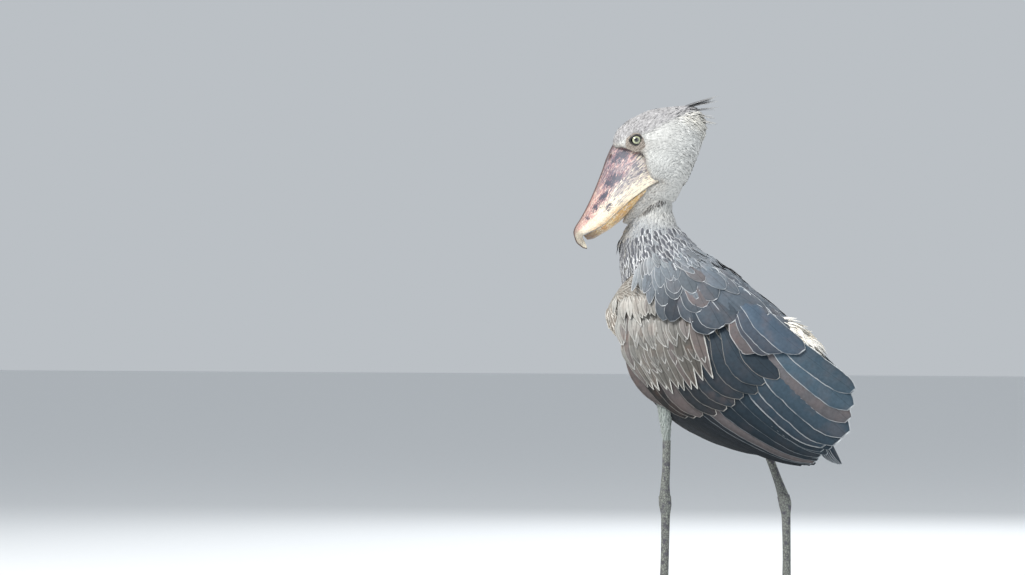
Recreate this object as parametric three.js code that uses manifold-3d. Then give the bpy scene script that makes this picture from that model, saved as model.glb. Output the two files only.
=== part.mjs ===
// A shoebill standing still, life size, in millimetres.
// +Z is up, the bird faces -Y and its left side is +X. The soles stand on z = 0.
import * as THREE from 'three';
import { mergeVertices } from 'three/addons/utils/BufferGeometryUtils.js';
import Module from 'manifold-3d';

const wasm = await Module();
wasm.setup();

const degree = Math.PI / 180;

// The gap that every two touching pieces keep.
const gap = 0.35;

// Materials, one per kind of surface.
const finishes = {
  greyDown: { color: 0x8f8f94, roughness: 0.95 },
  paleDown: { color: 0xdcdcda, roughness: 0.95 },
  slateVane: { color: 0x4a5660, roughness: 0.7 },
  whiteDown: { color: 0xefeae0, roughness: 0.95 },
  horn: { color: 0xe6d3b4, roughness: 0.45 },
  lowerHorn: { color: 0xd8ab6a, roughness: 0.5 },
  scale: { color: 0x7d7b76, roughness: 0.75 },
  claw: { color: 0x3a3836, roughness: 0.4 },
  iris: { color: 0xd9d6b4, roughness: 0.15 },
};

// A table of stations becomes a smooth function. Each row starts with the place along
// the part and the other columns are blended by cubics that never overshoot.
function profile(rows) {
  const places = rows.map((row) => row[0]);
  const slopes = rows.map((row, index) => row.map((value, column) => {
    if (index === 0 || index === rows.length - 1) return 0;
    const before = (value - rows[index - 1][column]) / (places[index] - places[index - 1]);
    const after = (rows[index + 1][column] - value) / (places[index + 1] - places[index]);
    if (before * after <= 0) return 0;
    return (2 * before * after) / (before + after);
  }));
  slopes[0] = rows[0].map((value, column) => (rows[1][column] - value) / (places[1] - places[0]));
  const last = rows.length - 1;
  slopes[last] = rows[last].map(
    (value, column) => (value - rows[last - 1][column]) / (places[last] - places[last - 1]),
  );
  return (place) => {
    const held = THREE.MathUtils.clamp(place, places[0], places[last]);
    let index = 0;
    while (index < last - 1 && held > places[index + 1]) index += 1;
    const span = places[index + 1] - places[index];
    const t = (held - places[index]) / span;
    const fromHere = 2 * t ** 3 - 3 * t ** 2 + 1;
    const slopeHere = t ** 3 - 2 * t ** 2 + t;
    const slopeNext = t ** 3 - t ** 2;
    return rows[index].slice(1).map((value, column) => {
      const next = rows[index + 1][column + 1];
      const bend = slopeHere * slopes[index][column + 1] + slopeNext * slopes[index + 1][column + 1];
      return fromHere * value + (1 - fromHere) * next + bend * span;
    });
  };
}

function smooth(t) {
  const held = THREE.MathUtils.clamp(t, 0, 1);
  return held * held * (3 - 2 * held);
}

function spread(count, from, to) {
  return Array.from({ length: count }, (unused, index) => from + ((to - from) * index) / (count - 1));
}

// The angles of a ring of `sides` points.
function ringTurns(sides) {
  return Array.from({ length: sides }, (unused, index) => (2 * Math.PI * index) / sides);
}

// A seeded stream of numbers from -1 to 1, so that every build is the same.
function jitter(seed) {
  let state = seed;
  return () => {
    state = (state * 16807) % 2147483647;
    return (2 * state) / 2147483647 - 1;
  };
}

// A closed mesh from corner points and triangles becomes a solid, turned right side out.
function solidFrom(points, triangles) {
  const geometry = new THREE.BufferGeometry();
  const corners = points.flatMap((point) => point.toArray());
  geometry.setAttribute('position', new THREE.Float32BufferAttribute(corners, 3));
  geometry.setIndex(triangles.flat());
  return solidOf(geometry);
}

function solidOf(geometry) {
  geometry.deleteAttribute('normal');
  geometry.deleteAttribute('uv');
  const merged = mergeVertices(geometry, 1e-5);
  const corners = merged.attributes.position;
  const index = Array.from(merged.index.array);
  let volume = 0;
  const [a, b, c] = [new THREE.Vector3(), new THREE.Vector3(), new THREE.Vector3()];
  for (let i = 0; i < index.length; i += 3) {
    a.fromBufferAttribute(corners, index[i]);
    b.fromBufferAttribute(corners, index[i + 1]);
    c.fromBufferAttribute(corners, index[i + 2]);
    volume += a.dot(b.cross(c));
  }
  if (volume < 0) index.reverse();
  return new wasm.Manifold(new wasm.Mesh({
    numProp: 3,
    vertProperties: new Float32Array(corners.array),
    triVerts: new Uint32Array(index),
  }));
}

// A skin over rings of points, closed by a fan over each end.
function loft(rings) {
  const count = rings[0].length;
  const points = rings.flat();
  const triangles = [];
  for (let ring = 0; ring < rings.length - 1; ring += 1) {
    for (let side = 0; side < count; side += 1) {
      const here = ring * count + side;
      const beside = ring * count + ((side + 1) % count);
      triangles.push([here, beside, beside + count], [here, beside + count, here + count]);
    }
  }
  for (const [ring, order] of [[0, -1], [rings.length - 1, 1]]) {
    const centre = points.length;
    const middle = new THREE.Vector3();
    rings[ring].forEach((point) => middle.addScaledVector(point, 1 / count));
    points.push(middle);
    for (let side = 0; side < count; side += 1) {
      const corners = [centre, ring * count + side, ring * count + ((side + 1) % count)];
      triangles.push(order > 0 ? corners : [corners[0], corners[2], corners[1]]);
    }
  }
  return solidFrom(points, triangles);
}

// A closed sheet: an upper and a lower grid of points, split into triangles alike.
function sheet(upper, lower) {
  const rows = upper.length;
  const columns = upper[0].length;
  const points = [...upper.flat(), ...lower.flat()];
  const below = rows * columns;
  const at = (row, column) => row * columns + column;
  const triangles = [];
  for (let row = 0; row < rows - 1; row += 1) {
    for (let column = 0; column < columns - 1; column += 1) {
      const [p, q] = [at(row, column), at(row, column + 1)];
      const [s, r] = [at(row + 1, column), at(row + 1, column + 1)];
      triangles.push([p, q, r], [p, r, s]);
      triangles.push([below + r, below + q, below + p], [below + s, below + r, below + p]);
    }
  }
  const rim = [];
  for (let column = 0; column < columns - 1; column += 1) rim.push(at(0, column));
  for (let row = 0; row < rows - 1; row += 1) rim.push(at(row, columns - 1));
  for (let column = columns - 1; column > 0; column -= 1) rim.push(at(rows - 1, column));
  for (let row = rows - 1; row > 0; row -= 1) rim.push(at(row, 0));
  rim.forEach((here, index) => {
    const next = rim[(index + 1) % rim.length];
    triangles.push([here, below + here, below + next], [here, below + next, next]);
  });
  return solidFrom(points, triangles);
}

// Round limb along a path of stations [x, y, z, radius], with rings square to the path.
function limb(stations, sides, extra = 0, steps = 2) {
  const path = new THREE.CatmullRomCurve3(stations.map(([x, y, z]) => new THREE.Vector3(x, y, z)));
  const radii = profile(stations.map((station, index) => [index, station[3]]));
  const rings = [];
  const last = (stations.length - 1) * steps;
  const sideways = new THREE.Vector3(1, 0, 0);
  for (let step = 0; step <= last; step += 1) {
    const t = step / last;
    const centre = path.getPoint(t);
    const along = path.getTangent(t);
    const across = sideways.clone().addScaledVector(along, -along.dot(sideways)).normalize();
    const over = along.clone().cross(across);
    const radius = radii(t * (stations.length - 1))[0] + extra;
    rings.push(ringTurns(sides).map((turn) => centre.clone()
      .addScaledVector(across, radius * Math.cos(turn))
      .addScaledVector(over, radius * Math.sin(turn))));
  }
  return loft(rings);
}

function joined(solids) {
  return wasm.Manifold.union(solids);
}

// After joins and cuts a node keeps only its largest closed surface.
function largest(solid) {
  const parts = solid.decompose();
  return parts.reduce((best, part) => (part.volume() > best.volume() ? part : best));
}

// How a vane narrows towards its tip: the share of its length where that starts, and how
// pointed it is. `places` are the places along it where its shape bends.
const vaneShapes = {
  broad: { start: 0.62, power: 2.4, tip: 0.3, places: [0, 0.32, 0.62, 0.86, 1] },
  small: { start: 0.6, power: 2.2, tip: 0.3, places: [0, 0.4, 0.78, 1] },
  lance: { start: 0.5, power: 1.6, tip: 0.14, places: [0, 0.34, 0.64, 0.86, 1] },
  flight: { start: 0.78, power: 2.4, tip: 0.3, places: [0, 0.22, 0.44, 0.66, 0.88, 1] },
  primary: { start: 0.78, power: 2.4, tip: 0.3, places: [0, 0.17, 0.34, 0.51, 0.68, 0.86, 1] },
  tail: { start: 0.82, power: 2.6, tip: 0.35, places: [0, 0.35, 0.65, 0.9, 1] },
  plume: { start: 0.3, power: 1.1, tip: 0.12, places: [0, 0.45, 0.8, 1] },
};
const vaneThickness = 0.7;
const vaneRootShare = 0.24;
const vaneRootEnd = 0.55;

function vaneHalfWidth(shape, width, place) {
  const root = vaneRootShare + (1 - vaneRootShare) * smooth(place / vaneRootEnd);
  const late = Math.max(0, (place - shape.start) / (1 - shape.start));
  return 0.5 * width * root * (shape.tip + (1 - shape.tip) * (1 - late ** shape.power));
}

// A vane as a closed sheet. `pointAt(place, offset, rise)` puts its points in space: `place`
// runs from the root, 0, to the tip, 1, `offset` runs across and `rise` to either face.
function vaneSheet(shape, width, pointAt) {
  const outline = vaneShapes[shape];
  const face = (sign) => outline.places.map((place) => {
    const half = vaneHalfWidth(outline, width, place);
    return [-1, 0, 1].map((share) => pointAt(place, share * half, (sign * vaneThickness) / 2));
  });
  return sheet(face(1), face(-1));
}

const sideWords = [['left', 1], ['right', -1]];

const bird = new THREE.Group();

// All measures are taken from the bird's own middle line. Every part is then moved back a
// little, so that the middle of the whole bird's box stands over the origin.
const standShift = 6.5;

function addNode(name, solid, finish) {
  const mesh = largest(solid).getMesh();
  const geometry = new THREE.BufferGeometry();
  geometry.setAttribute('position', new THREE.Float32BufferAttribute(mesh.vertProperties, mesh.numProp));
  geometry.setIndex(Array.from(mesh.triVerts));
  geometry.translate(0, standShift, 0);
  const node = new THREE.Mesh(geometry, new THREE.MeshStandardMaterial({ ...finish, metalness: 0 }));
  node.name = name;
  bird.add(node);
}

// The body is measured along a straight axis that runs from the breast down to the
// tail, and square to it: `along` towards the tail, `up` towards the back.
const bodyPitch = 37 * degree;
const bodyMiddle = { y: -60, z: 635 };

function onBody(x, along, up) {
  return new THREE.Vector3(
    x,
    bodyMiddle.y + along * Math.cos(bodyPitch) + up * Math.sin(bodyPitch),
    bodyMiddle.z - along * Math.sin(bodyPitch) + up * Math.cos(bodyPitch),
  );
}

// Oval sections square to the body's axis, from stations [along, top, bottom, half width].
function bodyLoft(stations, places, sides, extra = 0) {
  const shape = profile(stations);
  return loft(places.map((along) => {
    const [top, bottom, halfWidth] = shape(along);
    const middle = (top + bottom) / 2;
    const half = (top - bottom) / 2 + extra;
    return ringTurns(sides).map(
      (turn) => onBody((halfWidth + extra) * Math.cos(turn), along, middle + half * Math.sin(turn)),
    );
  }));
}

// Torso: [along, back, belly, half width].
const torsoStations = [
  [-178, 8, -52, 26],
  [-164, 42, -82, 48],
  [-140, 68, -108, 68],
  [-100, 84, -136, 83],
  [-40, 93, -152, 90],
  [30, 97, -150, 90],
  [100, 96, -132, 84],
  [170, 89, -102, 72],
  [230, 76, -66, 56],
  [272, 62, -34, 40],
  [290, 46, -10, 22],
];
const torsoPlaces = [-178, -164, -142, -112, -76, -34, 10, 56, 104, 152, 198, 238, 268, 290];
const torsoSides = 20;

function torsoSolid(extra = 0) {
  const ends = [torsoPlaces[0] - extra, torsoPlaces.at(-1) + extra];
  const places = [ends[0], ...torsoPlaces.slice(1, -1), ends[1]];
  return bodyLoft(torsoStations, places, torsoSides, extra);
}
const torso = torsoSolid();
const aroundTorso = torsoSolid(gap);

// Neck: oval rings [y, z, half depth, half width, tilt in degrees], from the throat down.
const neckRings = [
  [-158, 884, 46, 42, 27],
  [-166, 856, 54, 47, 27],
  [-175, 830, 61, 51, 22],
  [-176, 806, 69, 56, 16],
  [-166, 780, 79, 64, 14],
  [-148, 744, 95, 78, 15],
  [-124, 708, 110, 89, 20],
  [-98, 672, 104, 84, 28],
];
const neckSides = 20;

function neckLoft(extra = 0) {
  return loft(neckRings.map(([y, z, halfDepth, halfWidth, tilt]) => {
    const [level, rise] = [Math.cos(tilt * degree), Math.sin(tilt * degree)];
    return ringTurns(neckSides).map((turn) => {
      const depth = (halfDepth + extra) * Math.sin(turn);
      const width = (halfWidth + extra) * Math.cos(turn);
      return new THREE.Vector3(width, y + depth * level, z + depth * rise);
    });
  }));
}
const aroundNeck = neckLoft(gap);

// The head is turned to the bird's left. It is measured in the bill's own directions:
// `along` from the bill's tip up to the back of the head, `up` towards the culmen.
const headTurn = 22 * degree;
const headPivot = new THREE.Vector3(0, -162, 0);
const billTip = { y: -165, z: 795 };
const billRise = 51.2 * degree;
const headPlace = new THREE.Matrix4().makeRotationZ(headTurn).setPosition(headPivot);
const billPlace = headPlace.clone().multiply(new THREE.Matrix4().makeBasis(
  new THREE.Vector3(0, Math.cos(billRise), Math.sin(billRise)),
  new THREE.Vector3(0, -Math.sin(billRise), Math.cos(billRise)),
  new THREE.Vector3(1, 0, 0),
).setPosition(0, billTip.y, billTip.z));

function onHead(along, up, x) {
  return new THREE.Vector3(along, up, x).applyMatrix4(billPlace);
}

// Head: [along, top, bottom, half width]. Ahead of the eyes the bill is cut out of it.
const headStations = [
  [84, -52, -64, 12],
  [100, -46, -75, 30],
  [130, -30, -88, 42],
  [165, 12, -104, 50],
  [190, 56, -116, 54],
  [212, 75, -114, 56],
  [232, 80, -108, 57],
  [256, 77, -101, 58],
  [280, 68, -95, 57],
  [304, 56, -87, 54],
  [326, 39, -79, 48],
  [346, 19, -68, 38],
  [360, 0, -54, 25],
  [367, -16, -40, 12],
];
const headPlaces = [84, 94, 110, 135, 162, 184, 202, 220, 240, 262, 286, 308, 330, 348, 361, 367];
const headSides = 24;

function headLoft(extra = 0) {
  const shape = profile(headStations);
  return loft(headPlaces.map((along) => {
    const [top, bottom, halfWidth] = shape(along);
    const middle = (top + bottom) / 2;
    const half = (top - bottom) / 2 + extra;
    return ringTurns(headSides).map((turn) => {
      const flat = Math.sign(Math.cos(turn)) * Math.abs(Math.cos(turn)) ** 0.85;
      return onHead(along, middle + half * Math.sin(turn), (halfWidth + extra) * flat);
    });
  }));
}

// Mouth line, from the corner of the mouth to the tip: [along, up].
const mouthLine = [
  [238, -64], [205, -62], [183, -53.5], [157, -45.5], [127, -38], [93, -32.5],
  [62, -28.5], [36, -20.5], [18, -11], [9, -7],
];

// Underside of the lower bill: [along, up].
const chinLine = [
  [238, -76], [205, -70], [183, -60], [157, -58], [127, -54.5], [93, -51],
  [62, -45], [36, -36], [18, -29], [7, -20],
];

// Where the feathers of the face begin on the bill: [along, up], from the gape to the brow.
const faceLine = [
  [204, -68], [197, -46], [206, -25], [221, -8], [226, 4], [220, 24], [211, 44], [199, 66], [194, 92],
];

// Behind this point the throat's feathers lie against the lower bill.
const throatStart = 60;

// The side view of all that is bill, run through the head. `grow` widens it by a gap.
function billSide(grow) {
  const outline = new THREE.Shape();
  outline.moveTo(-40, -90);
  outline.lineTo(throatStart, -90);
  const throat = chinLine.filter(([along]) => along > throatStart && along < faceLine[0][0]);
  throat.reverse().forEach(([along, up]) => outline.lineTo(along, up - grow));
  faceLine.forEach(([along, up]) => outline.lineTo(along + grow, up));
  outline.lineTo(-40, faceLine.at(-1)[1]);
  const geometry = new THREE.ExtrudeGeometry(outline, { depth: 180, bevelEnabled: false });
  geometry.translate(0, 0, -90);
  return solidOf(geometry.applyMatrix4(billPlace));
}

// Upper bill: each ring joins a point of the culmen to a point of the mouth line.
// [culmen along, culmen up, mouth along, mouth up, half width]
const upperBillRings = [
  [232, 70, 238, -64, 46],
  [199, 66, 205, -62, 47.5],
  [170, 59, 183, -53.5, 50],
  [142, 49, 157, -45.5, 53],
  [112, 39.5, 127, -38, 55],
  [82, 31, 93, -32.5, 53],
  [54, 24.5, 62, -28.5, 47],
  [30, 20.5, 36, -20.5, 37],
  [14, 18.8, 18, -11, 27],
  [3, 15.5, 9, -7, 18.5],
  [-7, 5, 4, -9.5, 12.5],
  [-13.5, -9, 1.5, -15, 8],
  [-13.2, -22, -2, -22, 4.5],
  [-9.5, -31, -6.5, -30.5, 1.4],
];
// Half of a section: [share of the half width, share of the height above the mouth line].
const upperBillSection = [
  [0, 1], [0.11, 0.985], [0.2, 0.93], [0.42, 0.82], [0.7, 0.62], [0.92, 0.36], [1, 0.15],
  [0.975, 0], [0.6, 0.035], [0.25, 0.055],
];

function upperBillLoft() {
  return loft(upperBillRings.map(([topAlong, topUp, mouthAlong, mouthUp, halfWidth]) => {
    const point = (share, height, side) => onHead(
      mouthAlong + (topAlong - mouthAlong) * height,
      mouthUp + (topUp - mouthUp) * height,
      side * share * halfWidth,
    );
    const left = upperBillSection.map(([share, height]) => point(share, height, 1));
    const right = upperBillSection.slice(1).reverse().map(([share, height]) => point(share, height, -1));
    return [...left, point(0, 0.06, 1), ...right];
  }));
}

// Lower bill: its rims follow the mouth line and its keel follows the chin line.
const mouthGap = 0.8;
const lowerBillWidths = [44, 45.5, 48, 51, 53, 51, 45, 35, 24, 14];
const lowerBillSection = [
  [0, 0], [0.4, 0.05], [0.74, 0.24], [0.93, 0.6], [0.97, 1], [0.6, 0.96], [0.25, 0.94],
];

function lowerBillLoft(extra = 0) {
  return loft(mouthLine.map(([rimAlong, rimUp], index) => {
    const [keelAlong, keelUp] = chinLine[index];
    const halfWidth = lowerBillWidths[index] + extra;
    const point = (share, height, side) => onHead(
      keelAlong + (rimAlong - keelAlong) * height,
      keelUp - extra + (rimUp - mouthGap - keelUp + extra) * height,
      side * share * halfWidth,
    );
    const left = lowerBillSection.map(([share, height]) => point(share, height, 1));
    const right = lowerBillSection.slice(1).reverse().map(([share, height]) => point(share, height, -1));
    return [...left, point(0, 0.94, 1), ...right];
  }));
}

// Eyes: balls set deep in the sides of the head, with a raised rim of lid round each.
const eyePlace = { along: 240, up: 33, x: 42 };
const eyeRadius = 13.5;
const lidRadius = 11.6;
const lidThickness = 2.4;
const lidReach = 0.7 * eyeRadius;
const eyeTurn = 12 * degree;

function eyeBall(side, extra = 0) {
  const ball = new THREE.SphereGeometry(eyeRadius + extra, 12, 8);
  ball.translate(eyePlace.along, eyePlace.up, side * eyePlace.x);
  return solidOf(ball.applyMatrix4(billPlace));
}

function lidRing(side) {
  const ring = new THREE.TorusGeometry(lidRadius, lidThickness, 4, 14);
  ring.rotateY(-side * eyeTurn);
  ring.translate(
    eyePlace.along - lidReach * Math.sin(eyeTurn),
    eyePlace.up,
    side * (eyePlace.x + lidReach * Math.cos(eyeTurn)),
  );
  return solidOf(ring.applyMatrix4(billPlace));
}

// Nostrils: a narrow slit on either side of the ridge, close to the brow.
const nostrilPlace = { along: 178, up: 55, x: 14.5 };
const nostrilSize = { length: 9, height: 1.6, depth: 5 };
const nostrilTilt = -18 * degree;

function nostril(side) {
  const slit = new THREE.SphereGeometry(1, 10, 6);
  slit.scale(nostrilSize.length, nostrilSize.height, nostrilSize.depth);
  slit.rotateZ(nostrilTilt);
  slit.translate(nostrilPlace.along, nostrilPlace.up, side * nostrilPlace.x);
  return solidOf(slit.applyMatrix4(billPlace));
}

const billCut = billSide(0);
const headCut = billSide(gap);
const lowerBill = lowerBillLoft();
const aroundLowerBill = lowerBillLoft(gap);
const upperBill = upperBillLoft();
const wholeHead = headLoft();

const head = wholeHead
  .subtract(headCut)
  .subtract(aroundLowerBill)
  .add(joined(sideWords.map(([, side]) => lidRing(side))))
  .subtract(joined(sideWords.map(([, side]) => eyeBall(side, gap))));
addNode('head', head, finishes.paleDown);
addNode(
  'upper_bill',
  upperBill.intersect(billCut).subtract(joined(sideWords.map(([, side]) => nostril(side)))),
  finishes.horn,
);
addNode('lower_bill', lowerBill.intersect(billCut), finishes.lowerHorn);
sideWords.forEach(([word, side]) => addNode(`eye_${word}`, eyeBall(side), finishes.iris));

// Crest: rows of narrow feathers that stand off the back of the crown, all rooted in a
// small pad of short feathers. `tipSpread` is how far the outer tips are from the middle.
const crestPad = { along: 358, up: -8, length: 12, height: 20, width: 18 };
const crestRows = [
  { count: 3, root: [346, 8], tip: [414, -38], rootSpread: 8, tipSpread: 11, width: 14 },
  { count: 4, root: [350, -4], tip: [406, -48], rootSpread: 13, tipSpread: 17, width: 14 },
  { count: 3, root: [354, -18], tip: [395, -57], rootSpread: 9, tipSpread: 11, width: 13 },
];

function crestVane(row, share) {
  const way = new THREE.Vector2(row.tip[0] - row.root[0], row.tip[1] - row.root[1]);
  const over = new THREE.Vector2(-way.y, way.x).normalize();
  return vaneSheet('plume', row.width, (place, offset, rise) => {
    const middle = share * (row.rootSpread + (row.tipSpread - row.rootSpread) * place);
    return onHead(
      row.root[0] + way.x * place + over.x * rise,
      row.root[1] + way.y * place + over.y * rise,
      middle + offset,
    );
  });
}

function crestSolid() {
  const pad = new THREE.SphereGeometry(1, 10, 6);
  pad.scale(crestPad.length, crestPad.height, crestPad.width);
  pad.translate(crestPad.along, crestPad.up, 0);
  const vanes = crestRows.flatMap((row) => spread(row.count, -1, 1).map((share) => crestVane(row, share)));
  return joined([solidOf(pad.applyMatrix4(billPlace)), ...vanes]);
}
addNode('crest', crestSolid().subtract(headLoft(gap)), finishes.greyDown);

addNode(
  'neck',
  neckLoft().subtract(aroundTorso).subtract(headLoft(gap)).subtract(aroundLowerBill),
  finishes.greyDown,
);
addNode('torso', torso, finishes.greyDown);

// Legs: the left leg stands forward and the right one trails. [x, y, z, radius]
const legShapes = {
  left: {
    thigh: [
      [46, -84, 545, 42], [49, -101, 488, 33], [52, -114, 440, 23.5], [54, -116, 395, 15],
      [54, -114, 350, 10],
    ],
    tibia: [[54, -114, 356, 8.8], [54, -115, 300, 8.6], [55, -117, 262, 9.6], [55, -118, 238, 13]],
    tarsus: [
      [55, -118, 237, 13.4], [55, -117, 220, 13.6], [56, -116, 190, 9.6], [57, -117, 110, 8.8],
      [58, -119, 45, 9.6], [58, -120, 14, 13],
    ],
  },
  right: {
    thigh: [
      [-44, -4, 545, 42], [-47, 16, 488, 33], [-50, 34, 440, 24], [-53, 52, 394, 16],
      [-55, 71, 345, 10.5],
    ],
    tibia: [[-55, 69, 351, 8.8], [-55, 89, 300, 8.6], [-55, 103, 264, 9.6], [-55, 112, 240, 13]],
    tarsus: [
      [-55, 113, 237, 13.4], [-55, 117, 220, 13.6], [-56, 119, 190, 9.6], [-57, 120, 110, 8.8],
      [-58, 119, 45, 9.6], [-58, 118, 14, 13],
    ],
  },
};
const limbSides = 10;
const toeSides = 6;
const clawSides = 5;
const thighSides = 14;

// Feet: three long toes forward and one back, all resting at the same level.
const toes = [
  { word: 'middle', turn: 0, length: 158, start: 8.8, end: 6.2 },
  { word: 'inner', turn: 27, length: 122, start: 8.2, end: 5.8 },
  { word: 'outer', turn: -26, length: 134, start: 8.2, end: 5.8 },
  { word: 'hind', turn: 172, length: 88, start: 8.2, end: 5.6 },
];
// A toe is three joints long and swells a little at each. It is slightly flatter than wide.
const toeJoints = 3;
const toeSwell = [0.94, 1.06];
const toeFlat = 0.86;
const clawLength = 24;

function toeDirection(toe, side, footTurn) {
  const angle = (toe.turn * side + footTurn) * degree;
  return new THREE.Vector3(-Math.sin(angle), -Math.cos(angle), 0);
}

function toeSolid(ball, toe, side, footTurn, extra = 0) {
  const way = toeDirection(toe, side, footTurn);
  const stations = spread(2 * toeJoints + 1, 0, 1).map((share, index) => {
    const radius = (toe.start + (toe.end - toe.start) * share) * toeSwell[index % 2];
    const centre = ball.clone().addScaledVector(way, toe.length * share);
    return [centre.x, centre.y, radius * toeFlat, radius];
  });
  return crossLimb(stations, way, toeSides, extra);
}

// Level limb along a straight way: rings stay square to `way`.
function crossLimb(stations, way, sides, extra = 0) {
  const across = new THREE.Vector3(0, 0, 1).cross(way);
  return loft(stations.map(([x, y, z, radius]) => ringTurns(sides).map(
    (turn) => new THREE.Vector3(x, y, z)
      .addScaledVector(across, (radius + extra) * Math.cos(turn + Math.PI / sides))
      .add(new THREE.Vector3(0, 0, (radius + extra) * Math.sin(turn + Math.PI / sides))),
  )));
}

// Claws curve down from above the toe's end: [place along, height, thickness], the last
// two as shares of the toe's own radius.
const clawStations = [
  [-0.1, 1.3, 1], [0.15, 1.5, 1], [0.45, 1.35, 0.74], [0.75, 0.85, 0.44], [1, 0.22, 0.12],
];
const clawRootShare = 0.78;

function clawSolid(ball, toe, side, footTurn) {
  const way = toeDirection(toe, side, footTurn);
  const root = toe.end * clawRootShare;
  const stations = clawStations.map(([share, height, thick]) => {
    const centre = ball.clone().addScaledVector(way, toe.length + clawLength * share);
    return [centre.x, centre.y, root * height, root * thick];
  });
  return crossLimb(stations, way, clawSides);
}

// The ball of the foot, where the toes meet under the shank.
const padSize = { width: 15, length: 17, height: 11.5, middle: 9.5 };

function footPad(ball, extra = 0) {
  const pad = new THREE.SphereGeometry(1, 10, 6);
  pad.scale(padSize.width + extra, padSize.length + extra, padSize.height + extra);
  pad.translate(ball.x, ball.y, padSize.middle);
  return solidOf(pad);
}

const feet = [
  { word: 'left', side: 1, ball: [58, -121, 0], turn: 4 },
  { word: 'right', side: -1, ball: [-58, 117, 0], turn: -4 },
];
const legCuts = [];

// The claws stop just short of the floor.
const clawClearance = 0.2;

feet.forEach(({ word, side, ball, turn }) => {
  const shapes = legShapes[word];
  const centre = new THREE.Vector3(...ball);
  const thigh = limb(shapes.thigh, thighSides);
  const tibia = limb(shapes.tibia, limbSides);
  const tarsus = limb(shapes.tarsus, limbSides);
  const aroundTibia = limb(shapes.tibia, limbSides, gap);
  legCuts.push(limb(shapes.thigh, thighSides, gap), aroundTibia);
  addNode(`thigh_${word}`, thigh.subtract(aroundTorso).subtract(aroundTibia), finishes.paleDown);
  addNode(`tibia_${word}`, tibia, finishes.scale);
  const footSolid = (extra) => joined([
    footPad(centre, extra),
    ...toes.map((toe) => toeSolid(centre, toe, side, turn, extra)),
  ]);
  const foot = footSolid(0).trimByPlane([0, 0, 1], 0);
  const footCut = footSolid(gap);
  addNode(`tarsus_${word}`, tarsus.subtract(aroundTibia).subtract(footCut), finishes.scale);
  addNode(`foot_${word}`, foot, finishes.scale);
  toes.forEach((toe) => {
    const claw = clawSolid(centre, toe, side, turn).trimByPlane([0, 0, 1], clawClearance);
    addNode(`claw_${word}_${toe.word}`, claw.subtract(footCut), finishes.claw);
  });
});

// Rump: a cushion of long soft feathers over the root of the tail.
const rumpStations = [
  [158, 94, 40, 18],
  [176, 104, 40, 30],
  [205, 109, 40, 38],
  [240, 107, 36, 40],
  [268, 99, 44, 34],
  [286, 90, 56, 24],
  [294, 82, 66, 12],
];
const rumpPlaces = rumpStations.map(([along]) => along);
const rumpSides = 14;
const aroundRump = bodyLoft(rumpStations, rumpPlaces, rumpSides, gap);
const rump = bodyLoft(rumpStations, rumpPlaces, rumpSides);
addNode('rump', rump.subtract(aroundTorso), finishes.whiteDown);

// Tail: it hangs more steeply than the body.
const tailRoot = { along: 262, up: 18 };
const tailDrop = -25 * degree;

function onTail(x, out, up) {
  return onBody(
    x,
    tailRoot.along + out * Math.cos(tailDrop) - up * Math.sin(tailDrop),
    tailRoot.up + out * Math.sin(tailDrop) + up * Math.cos(tailDrop),
  );
}

// Its feathers overlap from a short core, the middle pair on top. `step` is how far each
// lies under its neighbour and `roof` how far the outer tips hang.
const tailCore = { length: 34, root: 15, end: 19, thickness: 13, columns: 3, rows: 3 };
const tailPairs = 6;
const tailVane = { start: 20, length: 186, width: 27, step: 2, otherSide: 1, top: 5.5 };
const tailSpread = { root: 9, tip: 18, roof: 4, shorter: 16 };

function tailRoof(x, out) {
  return -tailSpread.roof * (x / tailSpread.tip) ** 2 * (out / tailVane.length);
}

function tailCoreSolid() {
  const face = (sign) => spread(tailCore.rows, 0, 1).map((place) => {
    const half = tailCore.root + (tailCore.end - tailCore.root) * place;
    const out = place * tailCore.length;
    const thick = tailCore.thickness * (1 - 0.5 * place * place);
    return spread(tailCore.columns, -half, half).map(
      (x) => onTail(x, out, tailRoof(x, out) + (sign * thick) / 2),
    );
  });
  return sheet(face(1), face(-1));
}

function tailFeather(side, pair) {
  const share = (pair + 0.35) / (tailPairs - 0.65);
  const level = tailVane.top - tailVane.step * pair - (side > 0 ? 0 : tailVane.otherSide);
  const length = tailVane.length - tailSpread.shorter * share * share;
  return vaneSheet('tail', tailVane.width, (place, offset, rise) => {
    const out = tailVane.start + length * place;
    const middle = side * share * (tailSpread.root + (tailSpread.tip - tailSpread.root) * place);
    const x = middle + offset;
    return onTail(x, out, level + tailRoof(x, out) + rise);
  });
}

function tailSolid() {
  const pairs = Array.from({ length: tailPairs }, (unused, pair) => pair);
  const vanes = sideWords.flatMap(([, side]) => pairs.map((pair) => tailFeather(side, pair)));
  return joined([tailCoreSolid(), ...vanes]);
}
addNode('tail', tailSolid().subtract(aroundTorso).subtract(aroundRump), finishes.slateVane);

// Wings: folded over the sides. Their base is an oval shell round the body:
// [along, half width, top, bottom].
const wingShell = profile([
  [-175, 68, 62, -140],
  [-150, 82, 80, -172],
  [-100, 91, 93, -212],
  [-40, 96, 99, -234],
  [30, 97, 101, -242],
  [110, 94, 101, -240],
  [200, 83, 97, -226],
  [300, 66, 99, -200],
  [380, 48, 102, -178],
  [460, 32, 104, -160],
]);

// The shell is also measured round its girth, so that widths stay true where it curls over
// the back: 0 at the widest line, positive towards the back.
const girthRadius = 150;

function girthAt(along, up) {
  const [, top, bottom] = wingShell(along);
  const share = (2 * up - top - bottom) / (top - bottom);
  return girthRadius * Math.asin(THREE.MathUtils.clamp(share, -1, 1));
}

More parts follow.
